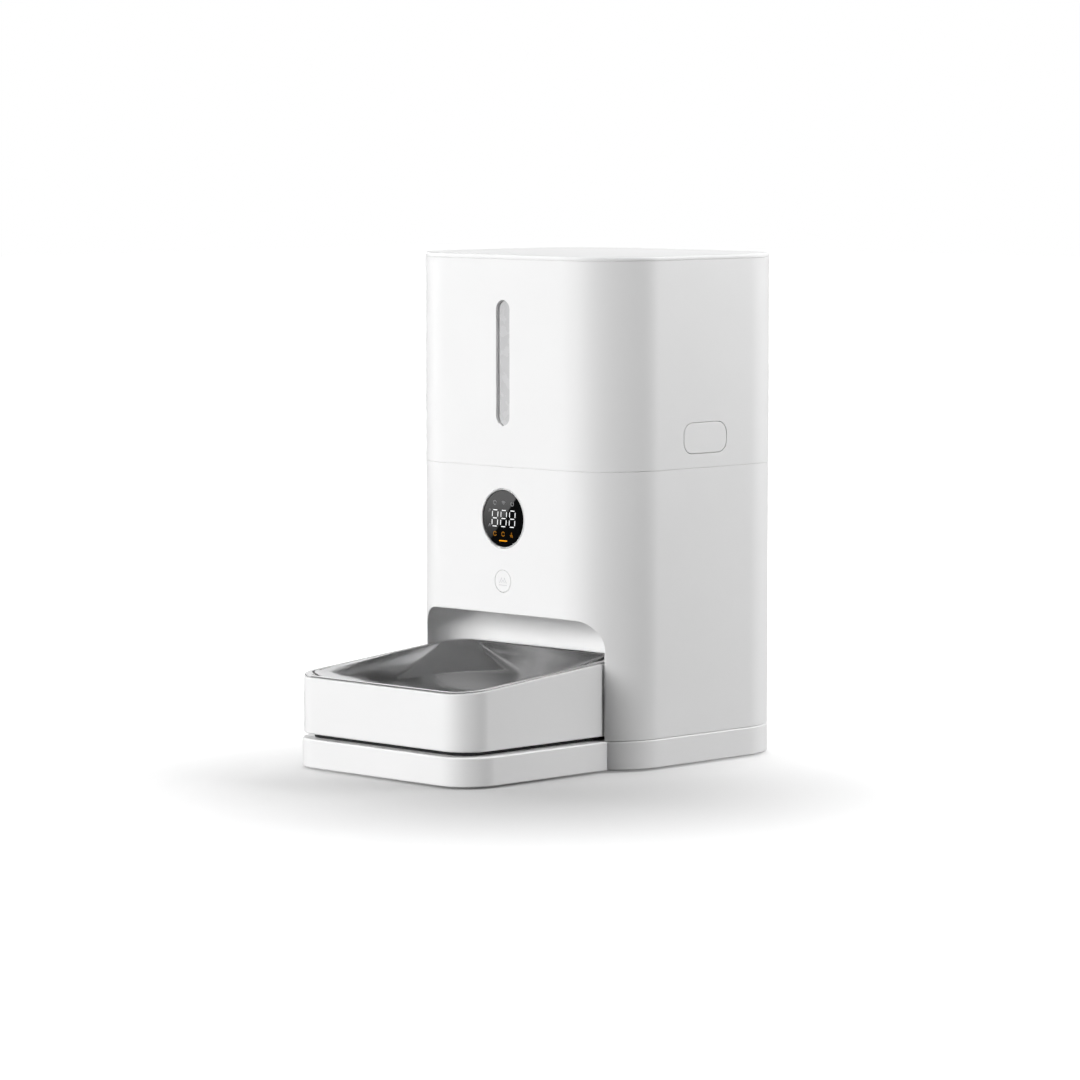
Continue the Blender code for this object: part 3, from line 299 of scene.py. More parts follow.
def bowl_outline(inset):
    """Plan of the bowl, moved inwards by inset."""
    half = HOLDER_HIGH.x - inset
    radius = max(BOWL_RADIUS - inset, SMALLEST_RADIUS)
    return rounded_rectangle(-half, half, HOLDER_LOW.y + inset, HOLDER_HIGH.y - inset, radius)


def level(outline, height):
    """An outline laid flat at one height."""
    return [(x, y, height) for x, y in outline]


def facing_front(outline, depth):
    """An outline of (x, z) points stood up at one y."""
    return [(x, depth, z) for x, z in outline]


def facing_side(outline, across):
    """An outline of (y, z) points stood up at one x."""
    return [(across, y, z) for y, z in outline]


def edge_round(radius, steps=5):
    """(inset, rise) pairs of a quarter round that starts on a side wall and ends on the face above it."""
    pairs = []
    for step in range(steps + 1):
        angle = math.pi / 2 * step / steps
        pairs.append((radius * (1 - math.cos(angle)), radius * math.sin(angle)))
    return pairs


# Meshes

def skin(name, rings, closed=False, sharp=35):
    """A piece made of rings with equal point counts: bridged in order, then capped or closed on itself."""
    shape = bmesh.new()
    loops = [[shape.verts.new(point) for point in ring] for ring in rings]
    pairs = list(zip(loops, loops[1:]))
    if closed:
        pairs.append((loops[-1], loops[0]))
    else:
        shape.faces.new(loops[0])
        shape.faces.new(loops[-1])
    count = len(rings[0])
    for lower, upper in pairs:
        for index in range(count):
            following = (index + 1) % count
            shape.faces.new((lower[index], lower[following], upper[following], upper[index]))
    return finish_mesh(name, shape, sharp)


def finish_mesh(name, shape, sharp=35):
    """Turns a bmesh into a smooth-shaded object with its faces pointing out."""
    bmesh.ops.recalc_face_normals(shape, faces=shape.faces)
    mesh = bpy.data.meshes.new(name)
    shape.to_mesh(mesh)
    shape.free()
    mesh.shade_smooth()
    mesh.set_sharp_from_angle(angle=math.radians(sharp))
    piece = bpy.data.objects.new(name, mesh)
    bpy.context.scene.collection.objects.link(piece)
    return piece


def turned(name, profile, centre, closed=False, axis="Z"):
    """A piece of revolution from (radius, position) points along the Z or the Y axis."""
    rings = []
    for radius, position in profile:
        flat = circle(radius, centre)
        rings.append(level(flat, position) if axis == "Z" else facing_front(flat, position))
    return skin(name, rings, closed)


def box(name, low, high):
    """A plain block between two corners."""
    outline = [(low[0], low[1]), (high[0], low[1]), (high[0], high[1]), (low[0], high[1])]
    return skin(name, [level(outline, low[2]), level(outline, high[2])])


def cut(target, *tools):
    """Takes the tools out of the target and removes them."""
    for tool in tools:
        change = target.modifiers.new(tool.name, "BOOLEAN")
        change.object = tool
        change.operation = "DIFFERENCE"
        change.solver = "EXACT"
        bpy.context.view_layer.update()
        solid = target.evaluated_get(bpy.context.evaluated_depsgraph_get())
        mesh = bpy.data.meshes.new_from_object(solid)
        target.modifiers.clear()
        target.data = mesh
        bpy.data.objects.remove(tool, do_unlink=True)
    target.data.shade_smooth()
    target.data.set_sharp_from_angle(angle=math.radians(35))


def even_faces(piece):
    """Keeps large flat faces flat where they meet rounded edges."""
    change = piece.modifiers.new("flat_faces", "WEIGHTED_NORMAL")
    change.mode = "FACE_AREA"
    change.weight = 50
    change.keep_sharp = True


def install(piece, body, nodes, material):
    """Finish of a piece, the body that it rides on and the CAD nodes that it stands for."""
    piece.data.materials.clear()
    piece.data.materials.append(material)
    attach(piece, body)
    if nodes:
        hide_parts(*nodes)


# Materials

class Surface:
    """A Principled material under construction, with a few shorthands for its node tree."""

    def __init__(self, name, colour, roughness, metallic=0.0):
        self.material = bpy.data.materials.new(name)
        self.material.use_nodes = True
        self.tree = self.material.node_tree
        self.shader = self.tree.nodes["Principled BSDF"]
        self.colour = colour
        self.set("Base Color", (*colour, 1))
        self.set("Roughness", roughness)
        self.set("Metallic", metallic)
        self.place = self.node("ShaderNodeTexCoord").outputs["Object"]

    def set(self, socket, value):
        self.shader.inputs[socket].default_value = value

    def node(self, kind, **values):
        made = self.tree.nodes.new(kind)
        for key, value in values.items():
            setattr(made, key, value)
        return made

    def link(self, source, target):
        self.tree.links.new(source, target)

    def stretched(self, scale):
        """Object coordinates stretched along the axes."""
        mapping = self.node("ShaderNodeMapping")
        mapping.inputs["Scale"].default_value = scale
        self.link(self.place, mapping.inputs["Vector"])
        return mapping.outputs["Vector"]

    def noise(self, scale, detail, stretch=None):
        made = self.node("ShaderNodeTexNoise")
        made.inputs["Scale"].default_value = scale
        made.inputs["Detail"].default_value = detail
        self.link(self.stretched(stretch) if stretch else self.place, made.inputs["Vector"])
        return made.outputs["Fac"]

    def spread(self, source, low, high, start=0.3, end=0.7):
        """Maps a 0..1 value onto a range."""
        made = self.node("ShaderNodeMapRange")
        made.inputs["From Min"].default_value = start
        made.inputs["From Max"].default_value = end
        made.inputs["To Min"].default_value = low
        made.inputs["To Max"].default_value = high
        self.link(source, made.inputs["Value"])
        return made.outputs["Result"]

    def shade(self, source, low, high):
        """Varies the base colour between two multiples of itself."""
        ramp = self.node("ShaderNodeMix", data_type="RGBA", blend_type="MIX")
        ramp.inputs["A"].default_value = (*[c * low for c in self.colour], 1)
        ramp.inputs["B"].default_value = (*[min(c * high, 1) for c in self.colour], 1)
        self.link(self.spread(source, 0, 1), ramp.inputs["Factor"])
        self.link(ramp.outputs["Result"], self.shader.inputs["Base Color"])

    def gloss(self, source, low, high):
        self.link(self.spread(source, low, high), self.shader.inputs["Roughness"])

    def relief(self, source, strength, distance):
        bump = self.node("ShaderNodeBump")
        bump.inputs["Strength"].default_value = strength
        bump.inputs["Distance"].default_value = distance
        self.link(source, bump.inputs["Height"])
        self.link(bump.outputs["Normal"], self.shader.inputs["Normal"])


def moulded_plastic(name, colour, gloss=(0.34, 0.42), grain=2600, relief=0.10):
    """Injection-moulded plastic: spark-eroded grain, faint flow variation in colour and gloss."""
    made = Surface(name, colour, sum(gloss) / 2)
    made.shade(made.noise(14, 4), 0.985, 1.01)
    made.gloss(made.noise(60, 3), *gloss)
    made.relief(made.noise(grain, 2), relief, 0.03 * MM)
    made.set("IOR", 1.5)
    return made.material


def satin_steel(name, colour):
    """Stainless steel with a very fine satin finish."""
    made = Surface(name, colour, 0.14, metallic=1.0)
    made.shade(made.noise(30, 3, stretch=(40, 2, 40)), 0.99, 1.01)
    made.gloss(made.noise(90, 3), 0.12, 0.16)
    made.relief(made.noise(2500, 2), 0.02, 0.01 * MM)
    return made.material


def plain_metal(name, colour, gloss):
    made = Surface(name, colour, sum(gloss) / 2, metallic=1.0)
    made.shade(made.noise(300, 3), 0.94, 1.05)
    made.gloss(made.noise(500, 2), *gloss)
    made.relief(made.noise(1800, 2), 0.08, 0.02 * MM)
    return made.material


def rubbery(name, colour, gloss=(0.65, 0.85)):
    made = Surface(name, colour, sum(gloss) / 2)
    made.shade(made.noise(120, 3), 0.90, 1.10)
    made.gloss(made.noise(300, 2), *gloss)
    made.relief(made.noise(1500, 3), 0.25, 0.05 * MM)
    made.set("Sheen Weight", 0.15)
    return made.material


def black_glass(name):
    made = Surface(name, (0.002, 0.002, 0.0022), 0.01)
    made.gloss(made.noise(200, 2), 0.005, 0.015)
    made.shade(made.noise(30, 2), 0.8, 1.2)
    made.relief(made.noise(25, 1), 0.01, 0.01 * MM)
    made.set("Specular IOR Level", 0.9)
    made.set("Coat Weight", 1.0)
    made.set("Coat Roughness", 0.008)
    return made.material


def window_plastic(name):
    """Translucent grey strip, a little lighter where more light gets in."""
    made = Surface(name, (0.57, 0.57, 0.575), 0.28)
    made.shade(made.noise(20, 2), 0.97, 1.03)
    made.gloss(made.noise(150, 2), 0.22, 0.32)
    made.relief(made.noise(1200, 2), 0.04, 0.02 * MM)
    made.set("Subsurface Weight", 0.25)
    made.set("Subsurface Radius", (2 * MM, 2 * MM, 2 * MM))
    made.set("Subsurface Scale", 1.0)
    return made.material


def circuit_board(name):
    made = Surface(name, (0.02, 0.14, 0.07), 0.45)
    made.shade(made.noise(700, 2), 0.75, 1.25)
    made.gloss(made.noise(400, 2), 0.35, 0.55)
    made.relief(made.noise(900, 1), 0.15, 0.05 * MM)
    return made.material


def fleece(name):
    made = Surface(name, (0.72, 0.73, 0.71), 0.95)
    made.shade(made.noise(900, 4), 0.88, 1.08)
    made.gloss(made.noise(600, 2), 0.85, 1.0)
    made.relief(made.noise(1400, 4), 0.6, 0.15 * MM)
    made.set("Sheen Weight", 0.4)
    return made.material


def lit(name, colour, strength):
    """A lit mark behind the display cover."""
    made = Surface(name, [part * 0.25 for part in colour], 0.3)
    made.shade(made.noise(900, 2), 0.9, 1.1)
    made.set("Emission Color", (*colour, 1))
    made.set("Emission Strength", strength)
    return made.material


SHELL_WHITE = (0.87, 0.87, 0.87)
MATERIALS = {
    "shell_white": moulded_plastic("shell_white_plastic", SHELL_WHITE),
    "inner_white": moulded_plastic("inner_white_plastic", (0.76, 0.76, 0.76), (0.42, 0.52), 1800, 0.15),
    "stainless": satin_steel("satin_stainless_steel", (0.78, 0.78, 0.785)),
    "display_black": black_glass("display_cover_glass"),
    "window_grey": window_plastic("level_window_plastic"),
    "foot_rubber": rubbery("foot_rubber_black", (0.02, 0.02, 0.021)),
    "soft_silicone": rubbery("soft_silicone_grey", (0.50, 0.51, 0.52), (0.5, 0.65)),
    "gear_plastic": moulded_plastic("gear_nylon", (0.78, 0.76, 0.68), (0.4, 0.5), 1500, 0.12),
    "plated_metal": plain_metal("zinc_plated_steel", (0.58, 0.58, 0.60), (0.25, 0.38)),
    "circuit_green": circuit_board("circuit_board_green"),
    "black_plastic": moulded_plastic("black_moulded_plastic", (0.018, 0.018, 0.018), (0.4, 0.55), 1500,
                                     0.2),
    "fleece_bag": fleece("desiccant_fleece"),
}


def dress_cad_nodes():
    """Better materials and smooth shading for the CAD nodes that stay."""
    slots = {part["node"]: part["material_slot"] for part in frame["record"]["subparts"]}
    for name, node in frame["nodes"].items():
        node.data.materials.clear()
        node.data.materials.append(MATERIALS[slots[name]])
        node.data.shade_smooth()
        weld = node.modifiers.new("weld", "WELD")
        weld.merge_threshold = 0.002 * MM
        split = node.modifiers.new("split", "EDGE_SPLIT")
        split.split_angle = math.radians(32)


# Shells

def make_base():
    ceiling = BASE_HIGH.z - DECK_THICKNESS
    rings = [level(base_outline(WALL), ceiling), level(base_outline(WALL), BASE_LOW.z)]
    for inset, rise in reversed(edge_round(BASE_EDGE)):
        rings.append(level(base_outline(inset), BASE_LOW.z + BASE_EDGE - rise))
    for inset, rise in edge_round(BASE_EDGE):
        rings.append(level(base_outline(inset), BASE_HIGH.z - BASE_EDGE + rise))
    shell = skin("base_moulding", rings)
    even_faces(shell)
    install(shell, "base", ["base_shell"], MATERIALS["shell_white"])


def seam_below(low):
    """Rings of a shell's lower edge, whose shallow rebate makes a fine groove over the piece beneath."""
    groove = tower_outline(GROOVE_DEPTH)
    rings = [level(groove, low - GROOVE_DROP), level(groove, low)]
    return rings + [level(tower_outline(inset), low + SEAM_EDGE - rise)
                    for inset, rise in reversed(edge_round(SEAM_EDGE, 3))]


def seam_above(high, edge=SEAM_EDGE):
    """Rings of a shell's rounded upper edge."""
    return [level(tower_outline(inset), high - edge + rise) for inset, rise in edge_round(edge, 4)]


def niche_section(grow, inset_side, inset_top):
    """Front view of the niche as (x, z, normal x, normal z)."""
    half = NICHE_HALF_WIDTH + grow - inset_side
    top = NICHE_TOP + grow - inset_top
    radius = max(NICHE_CORNER + grow - max(inset_side, inset_top), SMALLEST_RADIUS)
    below = BASE_HIGH.z - NICHE_PAST
    section = [(half, below, 1, 0)]
    for side, start in ((1, 0), (-1, 90)):
        for step in range(CORNER_STEPS + 1):
            angle = math.radians(start + 90 * step / CORNER_STEPS)
            section.append((side * (half - radius) + radius * math.cos(angle),
                            top - radius + radius * math.sin(angle), math.cos(angle), math.sin(angle)))
    section.append((-half, below, -1, 0))
    return section


def front_surface(x):
    """Depth of the tower's front at one x: flat, then round the corners."""
    past = abs(x) - (HALF_WIDTH - TOWER_RADIUS)
    if past <= 0:
        return FRONT
    return FRONT + TOWER_RADIUS - math.sqrt(max(TOWER_RADIUS ** 2 - past ** 2, 0))


def niche_solid(name, grow, edge=0.0):
    """The niche as a solid that starts in front of the tower, with a flared mouth that rounds its edge."""
    plan_radius = NICHE_PLAN_RADIUS + grow
    cove_radius = NICHE_COVE_RADIUS + grow
    back = FRONT + NICHE_DEPTH + grow
    mouth = niche_section(grow, 0, 0)
    rings = [[(x + nx * edge, FRONT - NICHE_PAST, z + nz * edge) for x, z, nx, nz in mouth]]
    if edge:
        for out, sink in edge_round(edge, 6):
            spread = edge - sink
            rings.append([(x + nx * spread, front_surface(x + nx * spread) + out, z + nz * spread)
                          for x, z, nx, nz in mouth])
    rings.append([(x, back - plan_radius - 1 * MM, z) for x, z, _, _ in mouth])
    for step in range(NICHE_STEPS + 1):
        angle = NICHE_LAST_ANGLE * step / NICHE_STEPS
        depth = back - plan_radius + plan_radius * math.sin(angle) / math.sin(NICHE_LAST_ANGLE)
        inset_side = plan_radius * (1 - math.cos(angle))
        into_cove = max(depth - (back - cove_radius), 0)
        inset_top = cove_radius - math.sqrt(max(cove_radius ** 2 - into_cove ** 2, 0))
        rings.append([(x, depth, z) for x, z, _, _ in niche_section(grow, inset_side, inset_top)])
    return skin(name, rings)


def flared(name, outline_at, place, surface, inward, edge):
    """A cutter through a flat wall whose mouth is flared, so that the hole gets a rounded edge."""
    rings = [place(outline_at(edge), surface - inward * CUT_PAST)]
    for sink, narrow in edge_round(edge, 4):
        rings.append(place(outline_at(edge - narrow), surface + inward * sink))
    rings.append(place(outline_at(0), surface + inward * HOLE_DEPTH))
    return skin(name, rings)


def round_hole(name, radius, centre, surface, inward, edge):
    """A flared round cutter along Y."""
    return flared(name, lambda grow: circle(radius + grow, centre), facing_front, surface, inward, edge)


def make_lower_housing():
    bottom = BASE_HIGH.z + SEAM
    shell = skin("housing_moulding", seam_below(bottom) + seam_above(HOUSING_HIGH.z))
    inside = tower_outline(WALL)
    cavity = skin("cavity", [level(inside, bottom - CUT_PAST), level(inside, HOUSING_HIGH.z + CUT_PAST)])
    cut(cavity, niche_solid("jacket", NICHE_WALL))
    display = round_hole("display_hole", DISPLAY_HOLE_RADIUS, (0, DISPLAY_CENTRE), FRONT, 1,
                         DISPLAY_HOLE_EDGE)
    button = round_hole("button_hole", BUTTON_HOLE_RADIUS, (0, BUTTON_CENTRE), FRONT, 1, BUTTON_HOLE_EDGE)
    inlet_centre = ((INLET_LOW.x + INLET_HIGH.x) / 2, (INLET_LOW.z + INLET_HIGH.z) / 2)
    inlet = round_hole("inlet_hole", INLET_HOLE_RADIUS, inlet_centre, BACK, -1, INLET_HOLE_EDGE)
    outlet = box("outlet_hole", (CHUTE_LOW.x - OUTLET_GAP, FRONT + OUTLET_NEAR, OUTLET_BOTTOM),
                 (CHUTE_HIGH.x + OUTLET_GAP, FRONT + OUTLET_FAR, OUTLET_TOP))
    cut(shell, cavity, niche_solid("room", 0, NICHE_EDGE), display, button, inlet, outlet)
    even_faces(shell)
    install(shell, "base", ["lower_housing"], MATERIALS["shell_white"])


def release_outline(grow):
    """Side view of a release button, grown outwards."""
    half_y = RELEASE_WIDTH / 2 + grow
    half_z = RELEASE_HEIGHT / 2 + grow
    return rounded_rectangle(RELEASE_CENTRE_Y - half_y, RELEASE_CENTRE_Y + half_y, RELEASE_CENTRE_Z - half_z,
                             RELEASE_CENTRE_Z + half_z, RELEASE_RADIUS + grow, 12)


def slot_outline(grow):
    """Front view of the level window's slot, grown outwards."""
    half = SLOT_WIDTH / 2 + grow
    return rounded_rectangle(-half, half, SLOT_BOTTOM - grow, SLOT_TOP + grow, half - SMALLEST_STEP, 24)


def make_hopper():
    foot = HOPPER_LOW.z
    step = HOPPER_BOTTOM + SPIGOT_RISE
    rings = [level(tower_outline(SPIGOT_INSET), foot),
             level(tower_outline(SPIGOT_INSET), HOPPER_BOTTOM - GROOVE_DROP)]
    rings += seam_below(HOPPER_BOTTOM) + seam_above(HOPPER_TOP)
    for inset, rise in reversed(edge_round(SEAM_EDGE, 3)):
        rings.append(level(tower_outline(HOPPER_WALL - inset), HOPPER_TOP - SEAM_EDGE + rise))
    rings += [level(tower_outline(HOPPER_WALL), step), level(tower_outline(SPIGOT_INSIDE), step),
              level(tower_outline(SPIGOT_INSIDE), foot)]
    shell = skin("hopper_moulding", rings, closed=True)
    slot = flared("slot", slot_outline, facing_front, FRONT, 1, SLOT_EDGE)
    holes = [flared(f"release_{side}", release_outline, facing_side, side * HALF_WIDTH, -side,
                    RELEASE_HOLE_EDGE) for side in (-1, 1)]
    cut(shell, slot, *holes)
    even_faces(shell)
    install(shell, "hopper", ["hopper_shell"], MATERIALS["shell_white"])


def make_lid():
    lip_bottom = LID_LOW.z
    lip = [(LIP_INSIDE, LID_TOP - LID_THICKNESS), (LIP_INSIDE, lip_bottom + LIP_EDGE),
           (LIP_INSIDE - LIP_EDGE, lip_bottom), (LIP_OUTSIDE + LIP_EDGE, lip_bottom),
           (LIP_OUTSIDE, lip_bottom + LIP_EDGE), (LIP_OUTSIDE, LID_BOTTOM - GROOVE_DROP)]
    rings = [level(tower_outline(inset), height) for inset, height in lip]
    rings += seam_below(LID_BOTTOM) + seam_above(LID_TOP, LID_EDGE)
    lid = skin("lid_moulding", rings)
    dimple = [(DIMPLE_FLOOR_RADIUS, LID_TOP - DIMPLE_DEPTH),
              (DIMPLE_MOUTH_RADIUS, LID_TOP + DIMPLE_MOUTH_RISE)]
    cut(lid, skin("lid_dimple", [level(circle(radius, DIMPLE_CENTRE, 24), height)
                                 for radius, height in dimple]))
    even_faces(lid)
    install(lid, "lid", ["lid_panel"], MATERIALS["shell_white"])


# Front pieces

def make_level_window():
    half = (WINDOW_HIGH.x - WINDOW_LOW.x) / 2
    face = WINDOW_LOW.y
    outline = rounded_rectangle(-half, half, WINDOW_LOW.z, WINDOW_HIGH.z, half - SMALLEST_STEP, 24)
    strip = skin("level_window_strip", [facing_front(outline, face), facing_front(outline, WINDOW_HIGH.y)])
    install(strip, "hopper", ["level_window"], MATERIALS["window_grey"])


def make_display():
    inner = BEZEL_RADIUS - BEZEL_WALL
    proud = BEZEL_LOW.y
    deep = BEZEL_HIGH.y
    profile = [(BEZEL_RADIUS, proud + BEZEL_OUTER_EDGE), (BEZEL_RADIUS, deep), (inner, deep),
               (inner, proud + BEZEL_INNER_EDGE), (inner + BEZEL_INNER_EDGE, proud),
               (BEZEL_RADIUS - BEZEL_OUTER_EDGE, proud)]
    ring = turned("display_ring", profile, (0, DISPLAY_CENTRE), closed=True, axis="Y")
    install(ring, "base", ["display_bezel"], MATERIALS["shell_white"])
    face = LENS_LOW.y + LENS_RECESS
    profile = [(LENS_RADIUS, LENS_HIGH.y)]
    for inset, rise in edge_round(LENS_EDGE, 4):
        profile.append((LENS_RADIUS - inset, face + LENS_EDGE - rise))
    lens = turned("display_cover", profile, (0, DISPLAY_CENTRE), axis="Y")
    even_faces(lens)
    install(lens, "base", ["display_lens"], MATERIALS["display_black"])
    make_digits(face)
    make_grey_icons(face)
    make_amber_icons(face)


def plate(shape, outline, face, thickness=MARK_THICKNESS):
    """Adds a thin upright plate, given as (x, z) points, standing on a face at one y."""
    near = [shape.verts.new((x, face - thickness, z)) for x, z in outline]
    far = [shape.verts.new((x, face - SMALLEST_STEP, z)) for x, z in outline]
    shape.faces.new(near)
    shape.faces.new(far)
    count = len(outline)
    for index in range(count):
        following = (index + 1) % count
        shape.faces.new((near[index], near[following], far[following], far[index]))


def band(shape, points, width, face, thickness=MARK_THICKNESS):
    """Adds a flat line of one width through (x, z) points."""
    left, right = [], []
    for index, (x, z) in enumerate(points):
        before = points[max(index - 1, 0)]
        after = points[min(index + 1, len(points) - 1)]
        along = Vector((after[0] - before[0], after[1] - before[1])).normalized()
        left.append((x - along.y * width / 2, z + along.x * width / 2))
        right.append((x + along.y * width / 2, z - along.x * width / 2))
    plate(shape, left + right[::-1], face, thickness)


def segment(reach):
    """Outline of a pointed display segment that lies along its first axis."""
    tip = SEGMENT_WIDTH / 2
    return [(-reach, 0), (tip - reach, -tip), (reach - tip, -tip), (reach, 0), (reach - tip, tip),
            (tip - reach, tip)]


def make_digits(face):
    """Three seven-segment digits."""
    digits = bmesh.new()
    half_w = (DIGIT_WIDTH - SEGMENT_WIDTH) / 2
    half_h = (DIGIT_HEIGHT - SEGMENT_WIDTH) / 2
    across = [(0, half_h), (0, 0), (0, -half_h)]
    upright = [(x, z) for x in (-half_w, half_w) for z in (-half_h / 2, half_h / 2)]

    def slanted(centre, outline):
        return [(centre + x + z * DIGIT_SLANT, DISPLAY_CENTRE + z) for x, z in outline]

    for number in (-1, 0, 1):
        centre = number * DIGIT_PITCH
        for x, z in across:
            outline = [(x + along, z + beside) for along, beside in segment(half_w - SEGMENT_SIDE_GAP)]
            plate(digits, slanted(centre, outline), face)
        for x, z in upright:
            outline = [(x - beside, z + along) for along, beside in segment(half_h / 2 - SEGMENT_END_GAP)]
            plate(digits, slanted(centre, outline), face)
    numerals = finish_mesh("display_digits", digits)
    install(numerals, "base", [], lit("digit_white", (0.95, 0.96, 0.97), 1.0))


def make_grey_icons(face):
    """A ring, a fan of arcs and an open ring above the digits, and two pairs of ticks beside them."""
    grey = bmesh.new()
    row = DISPLAY_CENTRE + ICON_DROP
    band(grey, arc(-ICON_ACROSS, row, ICON_RADIUS, 0, 320, 16), ICON_LINE, face)
    for radius in (0.7, 1.5, 2.3):
        band(grey, arc(0, row - 1.2 * MM, radius * MM, 45, 135, 8), ICON_LINE, face)
    band(grey, arc(ICON_ACROSS, row - 0.3 * MM, ICON_RADIUS, 120, 420, 16), ICON_LINE, face)
    for side in (1, -1):
        centre = DISPLAY_CENTRE + side * 4.8 * MM
        band(grey, [(-13.6 * MM, centre - 1 * MM), (-13.0 * MM, centre + 0.9 * MM)], 0.5 * MM, face)
        band(grey, [(-12.5 * MM, centre - 0.6 * MM), (-12.3 * MM, centre + 0.9 * MM)], ICON_LINE, face)
    install(finish_mesh("display_icons_grey", grey), "base", [],
            lit("icon_grey", (0.6, 0.6, 0.62), 0.22))


def make_amber_icons(face):
    """Two open rings and a cluster of dots below the digits, and the bar at the bottom."""
    amber = bmesh.new()
    row = DISPLAY_CENTRE - ICON_DROP
    for centre in (-ICON_ACROSS, -0.4 * MM):
        band(amber, arc(centre, row, ICON_RADIUS, 20, 340, 18), AMBER_ICON_LINE, face)
    for x, z in ((7.2, 1.0), (6.5, -0.5), (7.9, -0.6), (7.2, -0.2), (6.9, -1.3), (8.1, -1.5)):
        plate(amber, circle(0.5 * MM, (x * MM, row + z * MM), 12), face)
    install(finish_mesh("display_icons_amber", amber), "base", [],
            lit("icon_amber", (0.55, 0.21, 0.003), 0.30))
    bar = bmesh.new()
    height = DISPLAY_CENTRE - 14.6 * MM
    plate(bar, rounded_rectangle(-4.1 * MM, 3.3 * MM, height - 0.36 * MM, height + 0.36 * MM, 0.34 * MM, 4),
          face)
    install(finish_mesh("display_bar_amber", bar), "base", [],
            lit("bar_amber", (1.0, 0.38, 0.004), 0.85))


def make_feed_button():
    face = BUTTON_LOW.y
    flange_radius = BUTTON_RADIUS + BUTTON_FLANGE
    profile = [(BUTTON_STEM_RADIUS, BUTTON_HIGH.y), (BUTTON_STEM_RADIUS, face + BUTTON_FLANGE_BACK),
               (flange_radius, face + BUTTON_FLANGE_BACK), (flange_radius, face + BUTTON_FLANGE_FRONT),
               (BUTTON_RADIUS, face + BUTTON_FLANGE_FRONT)]
    for inset, rise in edge_round(BUTTON_EDGE, 4):
        profile.append((BUTTON_RADIUS - inset, face + BUTTON_EDGE - rise))
    for radius, dip in ((6.4, 0.03), (5.2, 0.09), (4, 0.13), (2.4, 0.16), (1, 0.17)):
        profile.append((radius * MM, face + dip * MM))
    button = turned("feed_button_cap", profile, (0, BUTTON_CENTRE), axis="Y")
    install(button, "feed_button", ["feed_button"], MATERIALS["shell_white"])
    icon = bmesh.new()
    base = BUTTON_CENTRE - 2.6 * MM
    dip = face + 0.13 * MM
    strokes = [[(-3.7, 0), (3.7, 0)], [(-3.2, 1.3), (-1.0, 4.9)], [(3.2, 1.3), (1.0, 4.9)],
               [(-1.3, 1.6), (0, 3.4), (1.3, 1.6)]]
    for points in strokes:
        band(icon, [(x * MM, base + z * MM) for x, z in points], BUTTON_ICON_LINE, dip, BUTTON_ICON_THICKNESS)
    mark = finish_mesh("feed_button_mark", icon)
    install(mark, "feed_button", [], moulded_plastic("printed_grey", (0.66, 0.66, 0.67)))


def make_release_buttons():
    for side, name in ((-1, "left"), (1, "right")):
        face = side * HALF_WIDTH
        rings = [facing_side(release_outline(RELEASE_FLANGE), face - side * RELEASE_FLANGE_BACK),
                 facing_side(release_outline(RELEASE_FLANGE), face - side * RELEASE_FLANGE_FRONT),
                 facing_side(release_outline(-RELEASE_GAP), face - side * RELEASE_FLANGE_FRONT)]
        for inset, rise in edge_round(RELEASE_EDGE, 5):
            rings.append(facing_side(release_outline(-RELEASE_GAP - inset),
                                     face - side * (RELEASE_EDGE - rise)))
        cap = skin(f"release_cap_{name}", rings)
        even_faces(cap)
        install(cap, f"release_{name}", [f"release_button_{name}"], MATERIALS["shell_white"])
        near, far = sorted((face - side * RELEASE_FLANGE_BACK,
                            face - side * (RELEASE_FLANGE_BACK - LATCH_THICKNESS)))
        arm = box(f"release_arm_{name}", (near, RELEASE_CENTRE_Y - LATCH_HALF_WIDTH, RELEASE_LOW.z),
                  (far, RELEASE_CENTRE_Y + LATCH_HALF_WIDTH, LATCH_TOP))
        install(arm, f"release_{name}", [], MATERIALS["shell_white"])


# Bowl

def rim_height(y):
    """Height of the bowl's sloping rim at one y, low at the front."""
    return RIM_BACK_HEIGHT - RIM_SLOPE * (STEEL_HIGH.y - y)


def make_bowl_holder():
    inner_bottom = HOLDER_LOW.z + HOLDER_FLOOR + HOLDER_INNER_EDGE
    drop = HOLDER_BELOW_RIM + HOLDER_TOP_EDGE
    rings = []
    for inset, rise in reversed(edge_round(HOLDER_BOTTOM_EDGE)):
        rings.append(level(bowl_outline(inset), HOLDER_LOW.z + HOLDER_BOTTOM_EDGE - rise))
    for inset, rise in edge_round(HOLDER_TOP_EDGE):
        rings.append([(x, y, rim_height(y) - drop + rise) for x, y in bowl_outline(inset)])
    for inset, rise in reversed(edge_round(HOLDER_TOP_EDGE)):
        rings.append([(x, y, rim_height(y) - drop + rise) for x, y in bowl_outline(HOLDER_WALL - inset)])
    for inset, rise in edge_round(HOLDER_INNER_EDGE):
        rings.append(level(bowl_outline(HOLDER_WALL + inset), inner_bottom - rise))
    holder = skin("bowl_holder_moulding", rings)
    even_faces(holder)
    install(holder, "bowl", ["bowl_holder"], MATERIALS["shell_white"])


